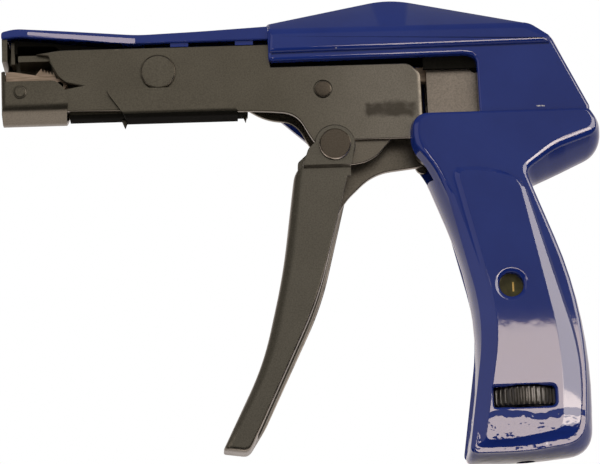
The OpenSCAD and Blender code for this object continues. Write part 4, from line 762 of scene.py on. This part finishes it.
SCREWS_AT = at([[0.9337, 0.6981], [0.7801, 0.5132], [0.7922, 0.0566], [0.9157, 0.0604], [0.9187, 0.8075]])
WINDOW_AT, CRANK_PIN_AT, THREAD_R = (54.9, 47.6), (53.45, 97.0), 1.5
RIM = [(0, 0), (0.15, 0.02), (0.35, 0.07), (0.55, 0.17), (0.75, 0.34), (0.88, 0.55), (0.96, 0.85), (1, 1.3)]
UPPER_RIM = [(share, 0.55 * depth) for share, depth in RIM]


def cast(name, flat_rows, face_rows, part_rows, half, rim, crown):
    """Half a casting: a flat, a rounded rim of (share of the way out, depth) steps, and the wall to the parting plane.

    The wall goes from the face outline to the parting outline by the share 1 - (1 - t)^crown, and ends in a small
    round at the parting plane."""
    rings = [ring_at(between(flat_rows, face_rows, s), d - half) for s, d in rim]
    t = np.linspace(0, 1, 11)[1:]
    for share, y in zip(1 - (1 - t) ** crown, (rim[-1][1] - half) * (1 - t)):
        rings.append(ring_at(between(face_rows, part_rows, share), y))
    rings[-1][:, 1] = -0.18
    rings.append(ring_at(shrunk(part_rows, 0.15), -0.01))
    return skin(name, rings)


def raised(name, face, levels):
    """A raised part of a casting: rings of rows, drawn in by an inset, each so far behind the face."""
    return skin(name, [ring_at(shrunk(rows, inset), face + behind) for rows, inset, behind in levels])


def casting(name, upper_face, upper_part):
    """The blank of one half, near side: upper housing, band, grip and panel joined, its rooms cut out.

    The three bores stand round the wheel's axis, for the wheel, the screw and its bush: circles r (cos a, sin a)."""
    half = cast(name, shrunk(upper_face, 0.9), upper_face, upper_part, COVER_HALF, UPPER_RIM, 1.12)
    band = raised("band", -BAND_HALF, [
        (band_face_rows, 0.8, 0), (band_face_rows, 0.35, 0.04), (band_face_rows, 0, 0.2),
        (between(band_face_rows, band_foot_rows, 0.6), 0, 0.5), (band_foot_rows, 0, 1), (band_foot_rows, 1, 3.5),
    ])
    grip = cast("grip", grip_flat_rows, grip_face_rows, grip_part_rows, GRIP_HALF, RIM, 2.3)
    panel = raised("panel", -PANEL_HALF, [
        (shrunk(panel_crown_rows, 0.3), 0, 0), (panel_crown_rows, 0, 0.02),
        (between(panel_crown_rows, panel_top_rows, 0.2), 0, 0.1), (panel_top_rows, 0, 0.42),
        (between(panel_top_rows, panel_foot_rows, 0.1), 0, 0.5),
        (between(panel_top_rows, panel_foot_rows, 0.85), 0, 1.35), (panel_foot_rows, 0, 1.75),
        (panel_foot_rows, 1, 3.6),
    ])
    combined(half, "UNION", band, grip, panel)
    slot_path = rounded(oblong(48.4, 14.0, 65.2, 19.6), [0.6, 1.5, 1.5, 0.6])
    mouth = [(-11.3, -0.9), (-11.02, -0.75), (-10.85, -0.45), (-10.6, -0.2), (-10.2, -0.05), (-9.8, 0), (0.2, 0)]
    slot = skin("slot", [np.insert(drawn_in(slot_path, inset), 1, y, axis=1) for y, inset in mouth])
    deep = ((pocket_rows, 6.1), (lever_room_rows, 6), (crank_room_rows, 6.2), (spring_room_rows, 8.2))
    rooms = [prism("room", soft_outline(rows), "Y", -depth, 0.2) for rows, depth in deep]
    a = np.linspace(0, 2 * math.pi, 96, endpoint=False)
    circle = np.column_stack([np.cos(a), np.sin(a)])
    round_rooms = ((11.3, 13.7, 20.0), (2.6, -0.2, 66.25), (3.8, 8.9, 14.3))
    bores = [prism("bore", (WHEEL_AT[0], 0) + r * circle, "Z", low, high) for r, low, high in round_rooms]
    return combined(half, "DIFFERENCE", slot, *rooms, *bores)


housing_left = casting("housing_left_cast", cover_face_rows, cover_part_rows)
card_room = prism("card_room", at(oblong(0.7994, 0.16, 0.8614, 0.4906)), "Y", -8.2, -4.1)
dish_rows = [(5.0, -11.4), (4.7, -11.01), (4.25, -10.93), (3.85, -10.8), (3.55, -10.6), (3.37, -10.3), (3.35, -8.05)]
groove_path = at([[0.452, 0.8668], [0.918, 0.8736], [0.918, 0.877], [0.452, 0.8705]])
groove = prism("groove", groove_path, "Y", -8.95, -8.35)
shanks = [turned("shank", centre, [(THREAD_R, -6), (THREAD_R, 0.2)], 24) for centre in SCREWS_AT]
combined(housing_left, "DIFFERENCE", card_room, turned("window", WINDOW_AT, dish_rows), groove, *shanks)
housing_right = casting("housing_right_cast", shell_face_rows, shell_part_rows)
seats = [turned("seat", centre, [(2.9, -11.2), (2.72, -9.6), (2.7, -6.1)], 40) for centre in SCREWS_AT]
shanks = [turned("shank", centre, [(THREAD_R, -7), (THREAD_R, 0.2)], 24) for centre in SCREWS_AT]
pivot_room = turned("pivot_room", PIVOT_AT, [(6.3, -8.05), (6.3, 0.2)])
crank_bore = turned("crank_bore", CRANK_PIN_AT, [(2.5, -8), (2.5, 0.2)], 48)
combined(housing_right, "DIFFERENCE", *seats, *shanks, pivot_room, crank_bore)
mirrored(housing_right)

# Enamel: a deep blue body that only its clear coat makes shine. The coat ripples slowly, so reflections waver, a
# little more along the foot of the grip; the blue drifts in faint clouds, and pinhead chips show the pale primer.
coat = {"Specular_IOR_Level": 0.0, "Coat_Weight": 1.0, "Coat_Roughness": 0.03}
enamel_finish, tree, enamel = finish_of("Thick glossy blue enamel", Roughness=0.5, **coat)
place = add_node(tree, "ShaderNodeTexCoord").outputs["Object"]
shade = stepped(tree, noise(tree, place, 45.0, 5.0), 0.3, 0.7)
blue = mixed(tree, shade, "#1a2e7a", "#203583")
chips = near_box(tree, place, (64.9, -8.9, 97.9), (67.1, -8.6, 98.1), 0.4, 0.5, 2500.0)
chip = near_box(tree, place, (9.8, -9.8, 115.9), (10.0, -9.5, 116.1), 0.35, 0.3, 2500.0)
blue = mixed(tree, joined(tree, chips, chip, "MAXIMUM"), blue, "#d6d2d0")
tree.links.new(blue, enamel.inputs["Base Color"])
height = add_node(tree, "ShaderNodeSeparateXYZ", [(0, place)]).outputs["Z"]
height = joined(tree, height, joined(tree, noise(tree, place, 90.0), 0.006), "SUBTRACT")
low_down = stepped(tree, height, 0.0100, 0.0078)
swell = joined(tree, noise(tree, place, 230.0, 2.0), joined(tree, low_down, 60.0))
ripple = joined(tree, noise(tree, place, 420.0, 4.0), swell, "ADD")
bump = add_node(tree, "ShaderNodeBump", [("Height", ripple)], Strength=1.0, Distance=0.000004)
for socket in ("Normal", "Coat Normal"):
    tree.links.new(bump.outputs["Normal"], enamel.inputs[socket])
new_piece(housing_left, enamel_finish, "frame", "housing_left", slot="housing_blue")
new_piece(housing_right, enamel_finish, "frame", "housing_right", slot="housing_blue")

# Barrel cover. A thin cast strip in the same enamel over the cut-off lever, with rounded rims, a flat facet filed
# along each lower side, and two feet at each side that stand on the plates.
ROOF_HALF, ROOF_IN = 7, 5.6
roof_line_rows = [
    [0.0012, 0.9214, 0.003], [0.0289, 0.9253, 0.006], [0.2241, 0.9034, 0.0181], [0.4486, 0.9049, 0.0018],
    [0.4486, 0.9331, 0.0018], [0.3337, 0.926, 0.0241], [0.2289, 0.9215, 0.0181], [0.1024, 0.9351, 0.0241],
    [0.0241, 0.9426, 0.012], [0.0012, 0.9358, 0.0048],
]
roof_hollow_rows = [
    [0.0096, 0.9177, 0.0018], [0.45, 0.8906, 0.0018], [0.45, 0.9224, 0.0018], [0.3337, 0.9162, 0.0181],
    [0.2289, 0.9117, 0.0181], [0.1024, 0.9253, 0.0181], [0.0181, 0.9328, 0.003], [0.0096, 0.9313, 0.0018],
]
facet = np.array([
    [(-75.5, -7.02, 124.0), (-75.5, -6.82, 122.95), (-75.5, -7.6, 122.95), (-75.5, -7.6, 124.0)],
    [(-45.7, -7.02, 121.2), (-45.7, -6.7, 119.5), (-45.7, -7.6, 119.5), (-45.7, -7.6, 121.2)],
])
cover = stamped("barrel_cover_cast", roof_line_rows, -ROOF_HALF, ROOF_HALF, 0.35)
combined(cover, "DIFFERENCE", prism("hollow", soft_outline(roof_hollow_rows), "Y", -ROOF_IN, ROOF_IN))
for side in (-1, 1):
    combined(cover, "DIFFERENCE", skin("facet", facet * (1, -side, 1)))
    for foot in ((0.2831, 0.8951, 0.3132, 0.9087), (0.3916, 0.8951, 0.4217, 0.9125)):
        combined(cover, "UNION", prism("foot", at(oblong(*foot)), "Y", *sorted((side * PLATE_IN, side * 6.3))))
new_piece(cover, enamel_finish, "frame", "barrel_cover", slot="housing_blue", angle=9)

# Studio. A long lens looks up at the tool from a little below, so the pale floor shows from above only, and all
# behind the tool is white. Low down the front is dark. One key light serves every piece; the softbox, card, fill and
# strip are there for the enamel and the wheel alone, whose gloss mirrors them.
AZIMUTH, ELEVATION, ROLL = (math.radians(d) for d in (-2.5, -12, 2.3))
DISTANCE = 0.72
AIM = Vector((-0.0017, 0, 0.0662))
LENS_PIXELS = 2601
PHOTO_WIDTH = 600
level = math.cos(ELEVATION)
back = Vector((math.sin(AZIMUTH) * level, -math.cos(AZIMUTH) * level, math.sin(ELEVATION)))
right = (-back).cross(Vector((0, 0, 1))).normalized()
up = right.cross(-back)
across = right * math.cos(ROLL) - up * math.sin(ROLL)
upright_axis = right * math.sin(ROLL) + up * math.cos(ROLL)
scene = bpy.context.scene
camera = placed("Camera", bpy.data.cameras.new("Camera"))
camera.data.sensor_width = 36
camera.data.lens = LENS_PIXELS / PHOTO_WIDTH * 36
camera.data.clip_start, camera.data.clip_end = 0.01, 20
view_axes = Matrix((across, upright_axis, back)).transposed().to_4x4()
camera.matrix_world = Matrix.Translation(AIM + back * DISTANCE) @ view_axes
scene.camera = camera
scene.view_settings.view_transform = "Standard"


def soft_light(name, where, aim, size, power, colour="#ffffff", height=None):
    """A rectangular soft light of a size in metres that faces the point aim."""
    light = bpy.data.lights.new(name, "AREA")
    light.shape = "RECTANGLE"
    light.size, light.size_y = size, height or size
    light.energy = power
    light.color = linear(colour)[:3]
    lamp = placed(name, light)
    lamp.location = where
    lamp.rotation_euler = (Vector(where) - Vector(aim)).to_track_quat("Z", "Y").to_euler()
    lamp.visible_camera = False
    return lamp


key = soft_light("Key light", (-0.5, -0.9, 1.0), (0, 0, 0.07), 0.7, 7)
key.visible_glossy = False
softbox = soft_light("Right softbox", (0.74, -0.94, 0.31), (0.02, 0, 0.09), 1.0, 15, "#fff3ea", 0.6)
card_low, card_high = Vector((0.178, -0.40, 0.0335)), Vector((0.178, -1.2, 0.243))
card_run, sideways = card_high - card_low, Vector((1, 0, 0))
card_middle = (card_low + card_high) / 2
card = soft_light("Low front card", card_middle, (0, 0, 0), 0.236, 6.5, "#ffead8", card_run.length)
slope = card_run.normalized()
card.rotation_euler = Matrix((sideways, slope, sideways.cross(slope))).transposed().to_euler()
fill = soft_light("Left fill", (-0.9, -0.75, 0.27), (0.03, 0, 0.08), 1.4, 3, "#ece4f0", 0.8)
strip = soft_light("Nose strip", (-0.08, -0.59, 0.083), (-0.06, 0, 0.122), 0.12, 0.21, "#f6e4dc", 0.06)
glossy_pieces = bpy.data.collections.new("Enamel")
for piece in (housing_left, housing_right, cover, wheel):
    glossy_pieces.objects.link(piece)
for lamp in (softbox, card, strip, fill):
    lamp.visible_diffuse = False
    lamp.light_linking.receiver_collection = glossy_pieces

# The surroundings are pale behind the tool and grey in front, warmer to the right, darker to the left, overhead and
# below, which gives the metal its contrast; the camera itself sees plain white.
world = bpy.data.worlds.new("White surroundings")
scene.world = world
world.use_nodes = True
sky = world.node_tree
sky_out = sky.nodes["World Output"]
direction = add_node(sky, "ShaderNodeTexCoord").outputs["Generated"]
x, y, z = add_node(sky, "ShaderNodeSeparateXYZ", [(0, direction)]).outputs
raised_up = joined(sky, joined(sky, z, 0, "MAXIMUM"), 0.8)
depth = joined(sky, y, joined(sky, z, 0.5), "SUBTRACT")
depth = joined(sky, depth, raised_up, "SUBTRACT")
behind = stepped(sky, depth, -0.1, 0.35)
leftward = stepped(sky, x, -0.12, -0.4)
rightward = stepped(sky, x, 0.12, 0.5)
not_low = stepped(sky, z, -0.12, 0.25)
overhead = stepped(sky, z, 0.35, 0.8)
front = mixed(sky, leftward, "#b9b5af", "#6a665f")
front = mixed(sky, rightward, front, "#fff6ec")
front = mixed(sky, overhead, front, "#87847f")
front = mixed(sky, not_low, "#15130f", front)
around = mixed(sky, behind, front, "#f3e9e6")
glow = add_node(sky, "ShaderNodeBackground", [("Color", around)], Strength=1.0)
seen = add_node(sky, "ShaderNodeBackground", Color=linear("#ffffff"), Strength=1.0)
ray = add_node(sky, "ShaderNodeLightPath").outputs["Is Camera Ray"]
blend = add_node(sky, "ShaderNodeMixShader", [(0, ray), (1, glow.outputs[0]), (2, seen.outputs[0])])
sky.links.new(blend.outputs[0], sky_out.inputs["Surface"])

FLOOR_HALF = 3.0
floor_mesh = bpy.data.meshes.new("Floor")
floor_corners = [(x, y, 0) for x, y in oblong(-FLOOR_HALF, -FLOOR_HALF, FLOOR_HALF, FLOOR_HALF)]
floor_mesh.from_pydata(floor_corners, [], [(0, 1, 2, 3)])
floor = placed("Floor", floor_mesh)
floor_finish, tree, floor_shader = finish_of("Pale paper floor", Roughness=0.8, Base_Color=linear("#efeeec"))
under = add_node(tree, "ShaderNodeNewGeometry").outputs["Backfacing"]
in_gloss = add_node(tree, "ShaderNodeLightPath").outputs["Is Glossy Ray"]
under = joined(tree, under, in_gloss, "MAXIMUM")
clear = add_node(tree, "ShaderNodeBsdfTransparent")
sides = [(0, under), (1, floor_shader.outputs[0]), (2, clear.outputs[0])]
one_sided = add_node(tree, "ShaderNodeMixShader", sides)
tree.links.new(one_sided.outputs[0], tree.nodes["Material Output"].inputs["Surface"])
floor_mesh.materials.append(floor_finish)
